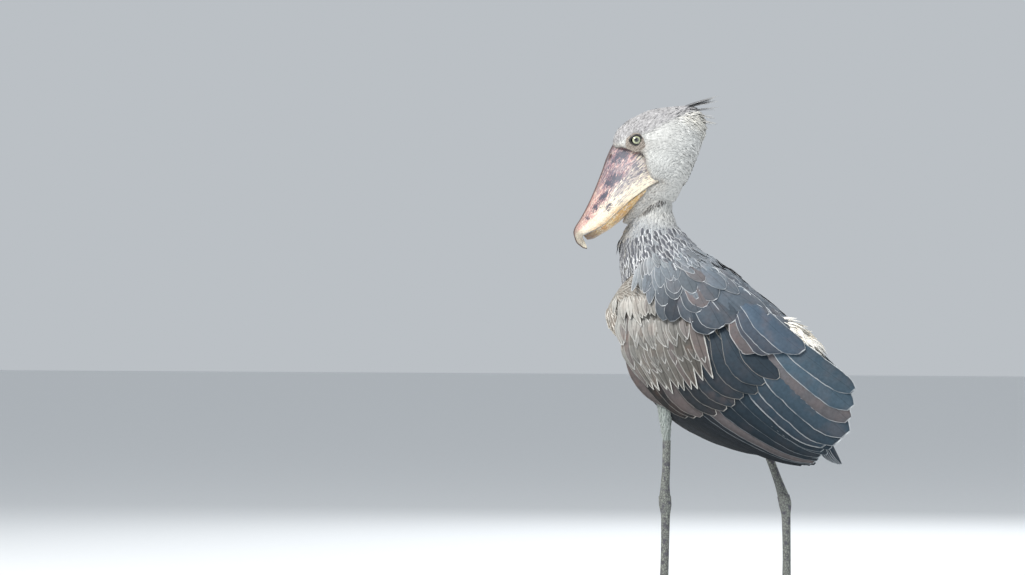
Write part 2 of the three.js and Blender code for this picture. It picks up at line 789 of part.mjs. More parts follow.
// A point on a wing: `lift` is its height over the shell.
function onWing(side, along, girth, lift) {
  const [halfWidth, top, bottom] = wingShell(along);
  const middle = (top + bottom) / 2;
  const half = (top - bottom) / 2;
  const turn = THREE.MathUtils.clamp(girth / girthRadius, -Math.PI / 2, Math.PI / 2);
  return onBody(
    side * (halfWidth + lift) * Math.cos(turn),
    along,
    middle + (half + lift) * Math.sin(turn),
  );
}

// The core of the wing is its arm, thick at the front, and ends behind the roots of the
// flight feathers: [along, upper edge, lower edge, lift].
const armOutline = profile([
  [-166, -62, -92, 4],
  [-150, -6, -118, 8],
  [-124, 52, -132, 9],
  [-88, 78, -138, 10],
  [-50, 92, -112, 11],
  [0, 100, -66, 13],
  [60, 102, -22, 15],
  [120, 99, 22, 17],
  [170, 93, 62, 17],
  [190, 88, 76, 15],
]);
const armDepth = -14;
const armEnds = [-166, 190];
const armRows = 10;
const armColumns = 6;
const armRounding = 5;

function armSolid(side) {
  const rows = spread(armRows, ...armEnds);
  const shares = spread(armColumns, 0, 1);
  const face = (outer) => rows.map((along) => {
    const [top, bottom, lift] = armOutline(along);
    return shares.map((share) => {
      const rounding = Math.sqrt(1 - Math.abs(2 * share - 1) ** armRounding);
      const height = outer ? armDepth / 2 + (lift - armDepth / 2) * rounding : armDepth;
      return onWing(side, along, girthAt(along, top + (bottom - top) * share), height);
    });
  });
  return sheet(face(true), face(false));
}

// One vane lies from `root` to `tip`, each [along, up]. It bows downwards in its middle,
// rolls like a roof tile, and rises from inside the arm to its own lift.
const riseEnd = 0.3;

function wingVane(side, { shape, root, tip, width, bow, roll, sink, lifts }) {
  const from = new THREE.Vector2(root[0], girthAt(...root));
  const way = new THREE.Vector2(tip[0], girthAt(...tip)).sub(from);
  const across = new THREE.Vector2(-way.y, way.x).normalize();
  const sunk = lifts[0] - sink;
  return vaneSheet(shape, width, (place, offset, rise) => {
    const point = from.clone().addScaledVector(way, place)
      .addScaledVector(across, offset - bow * Math.sin(Math.PI * place));
    const level = lifts[0] + (lifts[1] - lifts[0]) * place;
    const lift = sunk + (level - sunk) * smooth(place / riseEnd);
    return onWing(side, point.x, point.y, lift - roll * offset + rise);
  });
}

function between(ends, share) {
  return ends[0].map((value, index) => value + (ends[1][index] - value) * share);
}

// Rows of vanes, from the lowest layer to the topmost. In each row the first vane is the
// one nearest the belly. Roots, tips and lifts are given for the first and the last vane.
const wingRows = [
  {
    name: 'primaries', shape: 'primary', count: 6, width: 46, roll: 0.07, sink: 0,
    roots: [[-92, -112], [-44, -74]],
    tipPath: (share) => [306 + 109 * Math.sin(share * Math.PI / 2), -142 + 52 * share],
    bows: [46, 20], lifts: [[0, 0], [7.5, 7.5]],
  },
  {
    name: 'secondaries', shape: 'flight', count: 6, width: 52, roll: 0.03, sink: 0,
    roots: [[-30, -62], [104, 30]], tips: [[414, -92], [426, -46]],
    bows: [26, 10], lifts: [[9.8, 9.8], [14, 14]],
  },
  {
    name: 'tertials', shape: 'flight', count: 5, width: 74, roll: 0.03, sink: 5,
    roots: [[108, 20], [150, 70]],
    tipPath: (share) => [424 + 54 * share - 84 * share * share, -44 + 110 * share],
    bows: [8, 0], lifts: [[15.4, 15.4], [20, 20]],
  },
  {
    name: 'greater coverts', shape: 'broad', count: 7, width: 54, roll: 0.06, sink: 4,
    roots: [[-84, -112], [112, 30]],
    tipPath: (share) => [104 + 150 * share ** 0.62, -178 + 186 * share ** 1.5],
    bows: [14, 6], lifts: [[11.5, 11.5], [19.5, 19.5]],
  },
  {
    name: 'median coverts', shape: 'lance', count: 6, width: 43, roll: 0.06, sink: 5,
    roots: [[-112, -86], [0, 14]],
    tipPath: (share) => [24 + 150 * share ** 0.85, -174 + 120 * share ** 1.6],
    bows: [10, 4], lifts: [[12, 16], [17, 23.5]],
  },
  {
    name: 'lesser coverts', shape: 'small', count: 5, width: 32, roll: 0.06, sink: 4,
    roots: [[-132, -92], [-70, -26]], tips: [[-46, -150], [30, -84]],
    bows: [4, 2], lifts: [[10, 17], [13.5, 22.5]],
  },
  {
    name: 'long scapulars', shape: 'broad', count: 4, width: 58, roll: 0.08, sink: 6,
    roots: [[58, 24], [60, 72]], tips: [[190, 18], [264, 62]],
    bows: [0, 0], lifts: [[20, 24], [23.5, 27.5]],
  },
  {
    name: 'middle scapulars', shape: 'broad', count: 4, width: 66, roll: 0.05, sink: 6,
    roots: [[-34, 2], [-30, 80]], tips: [[72, 2], [128, 84]],
    bows: [0, 0], lifts: [[17, 26], [20.5, 30]],
  },
  {
    name: 'front scapulars', shape: 'broad', count: 4, width: 62, roll: 0.05, sink: 5,
    roots: [[-112, -16], [-104, 70]], tips: [[-8, -8], [34, 88]],
    bows: [0, 0], lifts: [[13, 23], [18, 29]],
  },
];

// No two feathers are quite alike.
const tipStray = { along: 3, up: 1.5 };
const widthStray = 0.04;

// The right wing is folded a little tighter than the left: its long feathers end further
// forward, and the upper ones of each row also lie lower.
const tighterFold = { forward: 46, lower: 20 };
const longRows = ['primaries', 'secondaries', 'tertials'];

function rowVanes(side, row, random) {
  const fold = side < 0 && longRows.includes(row.name) ? tighterFold : { forward: 0, lower: 0 };
  return Array.from({ length: row.count }, (unused, index) => {
    const share = index / (row.count - 1);
    const tip = row.tipPath ? row.tipPath(share) : between(row.tips, share);
    const along = tip[0] - fold.forward + tipStray.along * random();
    const up = tip[1] - fold.lower * share + tipStray.up * random();
    return wingVane(side, {
      shape: row.shape,
      root: between(row.roots, share),
      tip: [along, up],
      width: row.width * (1 + widthStray * random()),
      bow: row.bows[0] + (row.bows[1] - row.bows[0]) * share,
      roll: row.roll,
      sink: row.sink,
      lifts: between(row.lifts, share),
    });
  });
}

const wingSeeds = { left: 11, right: 23 };

sideWords.forEach(([word, side]) => {
  const random = jitter(wingSeeds[word]);
  const vanes = wingRows.flatMap((row) => rowVanes(side, row, random));
  const wing = joined([armSolid(side), ...vanes])
    .subtract(aroundTorso)
    .subtract(aroundRump)
    .subtract(joined(legCuts))
    .subtract(aroundNeck)
    .trimByPlane([side, 0, 0], gap / 2);
  addNode(`wing_${word}`, wing, finishes.slateVane);
});

export default bird;
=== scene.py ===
# %% [markdown]
# # A shoebill, life size, as a museum model
#
# This lesson dresses the plain solids of a standing shoebill. The solids give the sizes: a
# bird of about 1.09 m, its head turned to its left, its wings folded over its sides. Here it
# gets one skin, some eleven thousand small feathers, the long feathers of wings and tail, a
# horny bill with blotches, wet eyes and scaly legs. All shapes are numpy arrays.

import bpy
import numpy as np
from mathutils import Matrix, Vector


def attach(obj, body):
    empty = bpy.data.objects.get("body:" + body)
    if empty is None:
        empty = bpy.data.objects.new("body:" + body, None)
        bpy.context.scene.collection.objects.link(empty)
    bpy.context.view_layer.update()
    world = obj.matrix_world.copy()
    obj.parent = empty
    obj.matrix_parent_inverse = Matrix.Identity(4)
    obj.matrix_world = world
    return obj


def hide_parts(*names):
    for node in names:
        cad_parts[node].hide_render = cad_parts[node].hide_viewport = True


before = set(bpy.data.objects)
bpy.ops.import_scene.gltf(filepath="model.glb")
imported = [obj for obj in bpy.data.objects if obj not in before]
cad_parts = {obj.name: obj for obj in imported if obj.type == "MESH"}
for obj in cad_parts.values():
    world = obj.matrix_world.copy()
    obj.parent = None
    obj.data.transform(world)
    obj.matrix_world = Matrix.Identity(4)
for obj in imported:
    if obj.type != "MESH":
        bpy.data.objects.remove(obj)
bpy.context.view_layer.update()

# %% [markdown]
# ## Camera, floor and light
#
# The photo was taken from the bird's left and a little behind, level with its body, with a
# long lens. A camera far away with a narrow view gives the same flat perspective. The floor
# is a wide pale sheet, and three broad lamps make soft studio light. Small lamps would be
# simpler, but they draw hard shadows that hide the feathers' edges.

# %% Camera, floor and light
aim = Vector((0.171, -0.4175, 0.685))
towards_camera = Vector((0.927, 0.375, 0.0))
camera_distance = 12.0
frame_width = 2.204
bird_middle = Vector((0, 0, 0.7))

camera_data = bpy.data.cameras.new("long lens")
camera_data.sensor_width = 36.0
camera_data.lens = camera_data.sensor_width * camera_distance / frame_width
camera_data.clip_end = 200.0
camera = bpy.data.objects.new("camera", camera_data)
camera.location = aim + camera_distance * towards_camera
camera.rotation_euler = towards_camera.to_track_quat("Z", "Y").to_euler()
bpy.context.collection.objects.link(camera)
bpy.context.scene.camera = camera


def add_lamp(name, position, width, watts, tone):
    """A square lamp of this width in metres at a position, turned to the bird's middle."""
    data = bpy.data.lights.new(name, "AREA")
    data.size = width
    data.energy = watts
    data.color = tone
    lamp = bpy.data.objects.new(name, data)
    lamp.location = position
    lamp.rotation_euler = (Vector(position) - bird_middle).to_track_quat("Z", "Y").to_euler()
    bpy.context.collection.objects.link(lamp)


add_lamp("key", (3.0, -1.6, 3.9), 1.8, 230, (1.0, 0.985, 0.955))
add_lamp("fill", (2.8, 3.8, 1.8), 3.0, 40, (0.92, 0.96, 1.0))
add_lamp("far side", (-3.4, -0.5, 2.8), 3.0, 80, (0.96, 0.98, 1.0))

world = bpy.data.worlds.new("pale room")
world.use_nodes = True
world.node_tree.nodes["Background"].inputs["Color"].default_value = (0.80, 0.85, 0.90, 1.0)
world.node_tree.nodes["Background"].inputs["Strength"].default_value = 0.62
bpy.context.scene.world = world
bpy.context.scene.view_settings.view_transform = "Standard"
print("lens", round(camera_data.lens, 1), "mm")

# %% [markdown]
# ## Small tools for numbers and meshes
#
# Everything is measured in millimetres and becomes metres when a mesh is made. A table of
# stations turns into a smooth curve, as a boat builder's battens do. A mesh is filled from
# whole arrays, which is hundreds of times faster than adding one corner at a time.

# %% Tools for numbers
MM = 0.001


def smooth(t):
    """0 below t = 0, 1 above t = 1, and 3t squared minus 2t cubed between."""
    held = np.clip(t, 0.0, 1.0)
    return held * held * (3.0 - 2.0 * held)


def mix(first, second, share):
    """First times one minus the share, plus second times the share."""
    return first + (second - first) * share


def unit(vectors):
    """Each vector divided by its own length."""
    return vectors / np.maximum(np.linalg.norm(vectors, axis=-1, keepdims=True), 1e-9)


def stack(x, y, z):
    """Three arrays of any matching shapes as one array of points."""
    return np.stack(np.broadcast_arrays(x, y, z), axis=-1)


def profile(rows):
    """Smooth curves through a table. Column one is the place and the others are values.
    Between two rows runs a cubic whose slopes never make it overshoot."""
    table = np.array(rows, float)
    place, value = table[:, 0], table[:, 1:]
    step = np.diff(value, axis=0) / np.diff(place)[:, None]
    slope = np.empty_like(value)
    slope[0] = step[0]
    slope[-1] = step[-1]
    same = step[:-1] * step[1:] > 0
    total = np.where(same, step[:-1] + step[1:], 1.0)
    slope[1:-1] = np.where(same, 2.0 * step[:-1] * step[1:] / total, 0.0)

    def curve(where):
        held = np.clip(np.asarray(where, float), place[0], place[-1])
        index = np.clip(np.searchsorted(place, held, side="right") - 1, 0, len(place) - 2)
        span = (place[index + 1] - place[index])[..., None]
        t = (held - place[index])[..., None] / span
        from_here = 2 * t ** 3 - 3 * t ** 2 + 1
        bend = (t ** 3 - 2 * t ** 2 + t) * slope[index] + (t ** 3 - t ** 2) * slope[index + 1]
        line = from_here * value[index] + (1 - from_here) * value[index + 1]
        return np.moveaxis(line + bend * span, -1, 0)

    return curve


def ripples(points, wavelength, seed):
    """Six sine waves of random direction and phase, added: a smooth unevenness from about
    -1 to 1 whose lumps are as wide as the wavelength, in millimetres."""
    draw = np.random.default_rng(seed)
    ways = unit(draw.normal(size=(6, 3))) * 2 * np.pi / (wavelength * draw.uniform(0.7, 1.4, (6, 1)))
    phases = draw.uniform(0, 2 * np.pi, 6)
    return np.sin(points @ ways.T + phases).sum(axis=-1) / 3.5


def colour(code):
    """An sRGB hex value as linear red, green, blue and alpha: each channel over 255, then
    the usual gamma curve undone."""
    channels = np.array([int(code[i:i + 2], 16) / 255 for i in (1, 3, 5)])
    linear = np.where(channels <= 0.04045, channels / 12.92, ((channels + 0.055) / 1.055) ** 2.4)
    return np.append(linear, 1.0)


def opaque(three):
    """Three channels with a fourth that is 1."""
    return np.append(three, np.ones(three.shape[:-1] + (1,)), axis=-1)


def darker(tone, share):
    """A tone's red, green and blue times a share, its alpha kept."""
    return tone * np.array([share, share, share, 1.0])


def even_turns(count, full=2 * np.pi):
    """So many evenly spaced turns, from 0 to just short of the full one."""
    return np.linspace(0, full, count, endpoint=False)


def ringed(places, ring, full=2 * np.pi):
    """Two grids: the places along, and for each of them the same ring of even turns."""
    return np.meshgrid(places, even_turns(ring, full), indexing="ij")


# %% Tools for meshes
stand_shift = np.array([0.0, 6.5, 0.0])


def add_piece(name, points, faces, material, attributes=None, uv=None, rounded=True):
    """One mesh object from points in millimetres, measured from the bird's middle line and
    moved with it over the origin, and a list of face arrays, one array for each number of
    corners. Attributes are floats or colours for each point. `uv` holds a place for each
    point and becomes a map named OFBake. `rounded` shades across the edges."""
    mesh = bpy.data.meshes.new(name)
    corners = np.concatenate([group.ravel() for group in faces]).astype(np.int32)
    sizes = np.concatenate([np.full(len(group), group.shape[1]) for group in faces])
    starts = np.concatenate([[0], np.cumsum(sizes)[:-1]]).astype(np.int32)
    mesh.vertices.add(len(points))
    mesh.vertices.foreach_set("co", ((points + stand_shift) * MM).astype(np.float32).ravel())
    mesh.loops.add(len(corners))
    mesh.loops.foreach_set("vertex_index", corners)
    mesh.polygons.add(len(starts))
    mesh.polygons.foreach_set("loop_start", starts)
    mesh.update(calc_edges=True)
    mesh.polygons.foreach_set("use_smooth", np.full(len(starts), rounded))
    for key, values in (attributes or {}).items():
        kind = "FLOAT_COLOR" if values.ndim == 2 else "FLOAT"
        layer = mesh.attributes.new(key, kind, "POINT")
        layer.data.foreach_set("color" if values.ndim == 2 else "value", values.astype(np.float32).ravel())
    if uv is not None:
        layer = mesh.uv_layers.new(name="OFBake")
        layer.uv.foreach_set("vector", uv[corners].astype(np.float32).ravel())
    mesh.materials.append(material)
    piece = bpy.data.objects.new(name, mesh)
    bpy.context.collection.objects.link(piece)
    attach(piece, "root")
    print(f"{name}: {int((sizes - 2).sum())} triangles")
    return piece


def tube_faces(rows, ring):
    """Four-sided faces of a tube of `rows` rings of `ring` points, without its ends."""
    row, side = np.meshgrid(np.arange(rows - 1), np.arange(ring), indexing="ij")
    here = row * ring + side
    beside = row * ring + (side + 1) % ring
    return np.stack([here, beside, beside + ring, here + ring], axis=-1).reshape(-1, 4)


def signed_volumes(quads):
    """Six times the volume under each shape's four-sided faces, positive where they face
    outwards: corner times the cross product of two others, for both triangles of a face."""
    a, b, c, d = np.moveaxis(quads, -2, 0)
    return np.einsum("...fi,...fi->...", a, np.cross(b, c)) + np.einsum("...fi,...fi->...", a, np.cross(c, d))


def closed_tube(grid):
    """A grid of rings closed by a fan over each end, turned outwards: points and faces."""
    rows, ring = grid.shape[:2]
    points = np.concatenate([grid.reshape(-1, 3), grid[0].mean(axis=0)[None], grid[-1].mean(axis=0)[None]])
    side = np.arange(ring)
    beside = (side + 1) % ring
    first = np.stack([np.full(ring, rows * ring), beside, side], axis=-1)
    last_ring = (rows - 1) * ring
    last = np.stack([np.full(ring, rows * ring + 1), last_ring + side, last_ring + beside], axis=-1)
    faces = [tube_faces(rows, ring), np.concatenate([first, last])]
    if signed_volumes(points[faces[0]]) < 0:
        faces = [group[:, ::-1] for group in faces]
    return points, faces


def together(pieces):
    """Several (points, faces) pairs as one."""
    points, quads, threes, total = [], [], [], 0
    for corners, (four, three) in pieces:
        points.append(corners)
        quads.append(four + total)
        threes.append(three + total)
        total += len(corners)
    return np.concatenate(points), [np.concatenate(quads), np.concatenate(threes)]


# %% [markdown]
# ## Where things are on the bird
#
# The body slopes down from breast to tail by 37 degrees, so it is easier to measure along
# its own axis than in x, y and z. The head has its own directions too: along the bill from
# its tip to the back of the head, and up to the ridge of the bill.

# %% The body's and the head's own directions
body_pitch = np.radians(37.0)
body_y, body_z = -60.0, 635.0
head_turn = np.radians(22.0)
head_pivot_y = -162.0
bill_rise = np.radians(51.2)
bill_tip_y, bill_tip_z = -165.0, 795.0


def on_body(x, along, up):
    """A point at x, so far along the body's axis towards the tail and so far above it."""
    y = body_y + along * np.cos(body_pitch) + up * np.sin(body_pitch)
    z = body_z - along * np.sin(body_pitch) + up * np.cos(body_pitch)
    return stack(x, y, z)


def body_places(points):
    """The way back: x, along and up of points in space."""
    y, z = points[..., 1] - body_y, points[..., 2] - body_z
    cos, sin = np.cos(body_pitch), np.sin(body_pitch)
    return points[..., 0], y * cos - z * sin, y * sin + z * cos


def on_head(along, up, x):
    """A point of the head: tilted by the bill's rise, then turned about the upright axis."""
    y = bill_tip_y + along * np.cos(bill_rise) - up * np.sin(bill_rise)
    z = bill_tip_z + along * np.sin(bill_rise) + up * np.cos(bill_rise)
    cos, sin = np.cos(head_turn), np.sin(head_turn)
    return stack(cos * x - sin * y, sin * x + cos * y + head_pivot_y, z)


def head_places(points):
    """The way back: along, up and x in the head of points in space."""
    cos, sin = np.cos(head_turn), np.sin(head_turn)
    y = points[..., 1] - head_pivot_y
    x = cos * points[..., 0] + sin * y
    y = cos * y - sin * points[..., 0] - bill_tip_y
    z = points[..., 2] - bill_tip_z
    cos, sin = np.cos(bill_rise), np.sin(bill_rise)
    return y * cos + z * sin, z * cos - y * sin, x


# %% Torso, neck, head and thighs as surfaces
torso_shape = profile([
    [-178, 8, -52, 26], [-164, 42, -82, 48], [-140, 68, -108, 68], [-100, 84, -136, 83],
    [-40, 93, -152, 90], [30, 97, -150, 90], [100, 96, -132, 84], [170, 89, -102, 72],
    [230, 76, -66, 56], [272, 62, -34, 40], [290, 46, -10, 22],
])
neck_shape = profile([
    [0, -158, 884, 46, 42, 27], [1, -166, 856, 54, 47, 27], [2, -175, 830, 61, 51, 22],
    [3, -176, 806, 69, 56, 16], [4, -166, 780, 79, 64, 14], [5, -148, 744, 95, 78, 15],
    [6, -124, 708, 110, 89, 20], [7, -98, 672, 104, 84, 28],
])
head_shape = profile([
    [84, -52, -64, 12], [100, -46, -75, 30], [130, -30, -88, 42], [165, 12, -104, 50],
    [190, 56, -116, 54], [212, 75, -114, 56], [232, 80, -108, 57], [256, 77, -101, 58],
    [280, 68, -95, 57], [304, 56, -87, 54], [326, 39, -79, 48], [346, 19, -68, 38],
    [360, 0, -54, 25], [367, -16, -40, 12],
])
rump_shape = profile([
    [158, 94, 40, 18], [176, 104, 40, 30], [205, 109, 40, 38], [240, 107, 36, 40],
    [268, 99, 44, 34], [286, 90, 56, 24], [294, 82, 66, 12],
])


def body_tube(shape, along, turn, extra):
    """An oval round the body's axis: half width times the cosine of the turn, and half
    height times its sine, both grown by `extra`."""
    top, bottom, half_width = shape(along)
    x = (half_width + extra) * np.cos(turn)
    up = (top + bottom) / 2 + ((top - bottom) / 2 + extra) * np.sin(turn)
    return on_body(x, along, up)


def neck_surface(level, turn, extra):
    """Ovals down the neck, each tilted back: depth times the sine of the turn, width times
    its cosine."""
    y, z, depth, width, tilt = neck_shape(level)
    tilt = np.radians(tilt)
    reach = (depth + extra) * np.sin(turn)
    return stack((width + extra) * np.cos(turn), y + reach * np.cos(tilt), z + reach * np.sin(tilt))


eye_along, eye_up, eye_x = 240.0, 33.0, 42.6
head_start, head_end = 84, 367
neck_end = 7
# The cheeks are fuller than an oval's: the cosine of the turn is raised to this power.
fullness = 0.85


def head_surface(along, turn, extra):
    """An oval section like the body's, with fuller cheeks, a brow that overhangs each eye
    and a hollow in front of it: two bell-shaped lumps added to the half width."""
    top, bottom, half_width = head_shape(along)
    flat = np.sign(np.cos(turn)) * np.abs(np.cos(turn)) ** fullness
    up = (top + bottom) / 2 + ((top - bottom) / 2 + extra) * np.sin(turn)
    brow = 3.4 * np.exp(-((along - eye_along - 2) / 26) ** 2 - ((up - eye_up - 17) / 8) ** 2)
    hollow = 2.6 * np.exp(-((along - eye_along + 22) / 14) ** 2 - ((up - eye_up + 2) / 16) ** 2)
    cheek = 1.6 * np.exp(-((along - 250) / 40) ** 2 - ((up + 30) / 26) ** 2)
    return on_head(along, up, (half_width + extra + brow - hollow + cheek) * flat)


def limb_surface(stations, place, turn, extra):
    """Round sections square to a smooth path: centre plus radius times the cosine of the
    turn sideways and times its sine forwards."""
    path = profile([[index, *station] for index, station in enumerate(stations)])
    x, y, z, radius = path(place)
    before, after = path(place - 0.02), path(place + 0.02)
    way = unit(stack(*(after - before)[:3]))
    across = unit(np.array([1.0, 0.0, 0.0]) - way[..., :1] * way)
    over = np.cross(way, across)
    reach = (radius + extra)[..., None]
    return stack(x, y, z) + reach * (across * np.cos(turn)[..., None] + over * np.sin(turn)[..., None])


leg_stations = {
    "left": {
        "thigh": [[46, -84, 545, 42], [49, -101, 488, 33], [52, -114, 440, 23.5], [54, -116, 395, 15],
                  [54, -114, 350, 10]],
        "tibia": [[54, -114, 356, 8.8], [54, -115, 300, 8.6], [55, -117, 262, 9.6], [55, -118, 230, 12.6]],
        "tarsus": [[55, -118, 237, 13.4], [55, -117, 220, 13.6], [56, -116, 190, 9.6], [57, -117, 110, 8.8],
                   [58, -119, 45, 9.6], [58, -120, 14, 13]],
    },
    "right": {
        "thigh": [[-44, -4, 545, 42], [-47, 16, 488, 33], [-50, 34, 440, 24], [-53, 52, 394, 16],
                  [-55, 71, 345, 10.5]],
        "tibia": [[-55, 69, 351, 8.8], [-55, 89, 300, 8.6], [-55, 103, 264, 9.6], [-55, 115, 231, 12.6]],
        "tarsus": [[-55, 113, 237, 13.4], [-55, 117, 220, 13.6], [-56, 119, 190, 9.6], [-57, 120, 110, 8.8],
                   [-58, 119, 45, 9.6], [-58, 118, 14, 13]],
    },
}


def surface_grid(surface, start, end, rows, ring, extra):
    """A surface of two parameters sampled in rings: rows along it, `ring` points round."""
    place, turn = ringed(np.linspace(start, end, rows), ring)
    return surface(place, turn, extra)


def torso_surface(along, turn, extra):
    """The oval tube of the torso."""
    return body_tube(torso_shape, along, turn, extra)


def rump_surface(along, turn, extra):
    """The oval cushion over the root of the tail."""
    return body_tube(rump_shape, along, turn, extra)


def thigh_surface(side):
    """The limb surface of one feathered thigh."""
    stations = leg_stations[side]["thigh"]

    def surface(place, turn, extra):
        return limb_surface(stations, place, turn, extra)

    return surface


print("torso is", torso_shape(0.0)[2] * 2, "mm wide")

# %% [markdown]
# ## Bill outlines
#
# A shoebill's bill is a huge hooked shoe of horn. The upper half is a broad vault with a
# ridge on top, the lower half a shallow trough. Both can be lofted: each ring joins a point
# of the ridge to a point of the mouth line. The face's feathers end on it in a curved line.

# %% Bill tables
upper_bill_rings = profile([
    [0, 232, 70, 238, -64, 46], [1, 199, 66, 205, -62, 47.5], [2, 170, 59, 183, -53.5, 50],
    [3, 142, 49, 157, -45.5, 53], [4, 112, 39.5, 127, -38, 55], [5, 82, 31, 93, -32.5, 53],
    [6, 54, 24.5, 62, -28.5, 47], [7, 30, 20.5, 36, -20.5, 37], [8, 14, 18.8, 18, -11, 27],
    [9, 3, 15.5, 9, -7, 18.5], [10, -7, 5, 4, -9.5, 12.5], [11, -13.5, -9, 1.5, -15, 8],
    [12, -13.2, -22, -2, -22, 4.5], [13, -9.5, -31, -6.5, -30.5, 1.4],
])
upper_bill_section = profile([
    [0, 0, 1], [1, 0.11, 0.985], [2, 0.2, 0.93], [3, 0.42, 0.82], [4, 0.7, 0.62], [5, 0.92, 0.36],
    [6, 1, 0.15], [7, 0.975, 0], [8, 0.6, 0.035], [9, 0.25, 0.055], [10, 0, 0.06],
])
mouth_line = [
    [238, -64], [205, -62], [183, -53.5], [157, -45.5], [127, -38], [93, -32.5], [62, -28.5],
    [36, -20.5], [18, -11], [9, -7],
]
chin_line = [
    [238, -76], [205, -70], [183, -60], [157, -58], [127, -54.5], [93, -51], [62, -45], [36, -36],
    [18, -29], [7, -20],
]
lower_bill_rings = profile([
    [index, *rim, *keel, width] for index, (rim, keel, width) in enumerate(
        zip(mouth_line, chin_line, [44, 45.5, 48, 51, 53, 51, 45, 35, 24, 14])
    )
])
lower_bill_section = profile([
    [0, 0, 0], [1, 0.4, 0.05], [2, 0.74, 0.24], [3, 0.93, 0.6], [4, 0.97, 1], [5, 0.6, 0.96],
    [6, 0.25, 0.94], [7, 0, 0.94],
])
mouth_up = profile(mouth_line[::-1])
chin_up = profile(chin_line[::-1])
culmen_up = profile([
    [14, 18.8], [30, 20.5], [54, 24.5], [82, 31], [112, 39.5], [142, 49], [170, 59], [199, 66],
])
bill_half_width = profile([
    [9, 18.5], [18, 27], [36, 37], [62, 47], [93, 53], [127, 55], [157, 53], [205, 47.5],
])
bill_share_at = profile([
    [0, 0.975], [0.15, 1], [0.36, 0.92], [0.62, 0.7], [0.82, 0.42], [0.93, 0.2], [0.985, 0.11], [1, 0],
])
face_along = profile([
    [-78, 206], [-68, 204], [-46, 197], [-25, 206], [-8, 221], [4, 226], [24, 220], [44, 211], [66, 199],
    [92, 194],
])


def bill_limit(along, up):
    """Half the width of the bill at a place of its side view."""
    low, high = mouth_up(along)[0], culmen_up(along)[0]
    return bill_half_width(along)[0] * bill_share_at((up - low) / (high - low))[0]


def before_face(along, up):
    """How far a place of the head lies in front of the edge of the face's feathers."""
    return face_along(up)[0] - along


print("bill is", round(2 * float(bill_half_width(127.0)[0])), "mm wide")

# %% [markdown]
# ## Colours of the plumage
#
# Skin and feathers share one map of markings, a function of the place on the bird: a nearly
# white cheek, a greyer crown, a neck that darkens downwards, a bleached breast, a slate back
# and a white rump. Painting a picture would do it too, but a function needs no image.

# %% The markings as a function of place
tones = {
    "cheek": "#C7C7C4", "crown": "#9A989A", "throat": "#C9C8C4", "neck": "#A2A6AA", "nape": "#969BA2",
    "neck front": "#ACA9A4", "breast": "#9A9893", "belly": "#8B8B8A", "mantle": "#6E7780",
    "thigh": "#8D9590", "rump": "#F0EBE1", "eye patch": "#9C9084", "brow": "#BFBDBC", "nape fluff": "#D2CFC7",
}
tones = {key: colour(code) for key, code in tones.items()}
crown_line = profile([[190, 66], [225, 52], [245, 40], [263, 26], [318, 3], [357, -18], [370, -26]])
# The plane under the jaw: a point of it, and how far it rises for each millimetre backwards.
crease_y, crease_z, crease_slope = -190.0, 832.0, 0.54


def spot(along, up, at_along, at_up, long, high):
    """1 at the middle of an oval spot of the head's side view, fading as a bell curve."""
    return np.exp(-((along - at_along) / long) ** 2 - ((up - at_up) / high) ** 2)


def over_the_crease(points):
    """Height over the slanting plane where the jaw's feathers end and the neck begins."""
    return points[..., 2] - crease_z - crease_slope * (points[..., 1] - crease_y)


def markings(points):
    """The plumage's colour at points in space: zones of the body blended by smooth steps."""
    along, up = body_places(points)[1:]
    z = points[..., 2]
    back = smooth((up + 10) / 90)[..., None]
    rear = smooth((along + 60) / 120)[..., None]
    body = mix(mix(tones["breast"], tones["belly"], rear), tones["mantle"], back)
    front = smooth((-185 - points[..., 1]) / 40)[..., None]
    neck = mix(tones["neck"], tones["nape"], smooth((points[..., 1] + 150) / 60)[..., None])
    neck = mix(neck, tones["neck front"], front)
    neck = mix(neck, tones["throat"], smooth((z - 812 + 0.35 * (points[..., 1] + 160)) / 46)[..., None])
    tone = mix(body, neck, smooth((z - 690) / 50)[..., None])
    tone = mix(tone, tones["thigh"], smooth((470 - z) / 40)[..., None])
    head_along, head_up = head_places(points)[:2]
    crown = smooth((head_up - crown_line(head_along)[0] + 5) / 11)[..., None]
    streak = 0.5 + 0.5 * ripples(points * np.array([1.0, 1.0, 1.6]), 9.0, 5)[..., None]
    cloud = 0.5 + 0.5 * ripples(points, 42.0, 6)[..., None]
    cheek = tones["cheek"] * mix(0.88, 1.06, cloud)
    head = mix(cheek, mix(tones["crown"], tones["brow"], 0.55 * streak), crown)
    head = mix(head, tones["nape fluff"], smooth((head_along - 322) / 30)[..., None] * (1 - crown))
    patch = spot(head_along, head_up, 224, 19, 17, 14)[..., None]
    head = mix(head, tones["eye patch"], 0.9 * patch)
    rim = smooth((before_face(head_along, head_up) + 9) / 8)[..., None] * (0.4 + 0.6 * streak)
    head = mix(head, tones["eye patch"], 0.5 * rim)
    head = mix(head, tones["throat"], smooth((-62 - head_up) / 30)[..., None])
    return mix(tone, opaque(head[..., :3]), smooth(over_the_crease(points) / 6)[..., None])


print("markings mix", len(tones), "tones")

# %% [markdown]
# ## Feather material
#
# A vane is keratin, matt but with a faint silky gloss. Each feather carries its own data:
# its colour, the colour and width of its pale worn fringe, and the distance to its edge, its
# tip and its shaft. The material draws the fringe from those distances, so it stays sharp
# however coarse the mesh is. Barbs are much finer than a pixel and are drawn 2.6 mm apart.

# %% A node helper and the feather material
def node(tree, kind, links, **settings):
    """One node with its settings. A link's value is a socket to join or a plain value."""
    made = tree.nodes.new(kind)
    for key, value in settings.items():
        setattr(made, key, value)
    for key, value in links.items():
        if isinstance(value, bpy.types.NodeSocket):
            tree.links.new(value, made.inputs[key])
        else:
            made.inputs[key].default_value = value
    return made


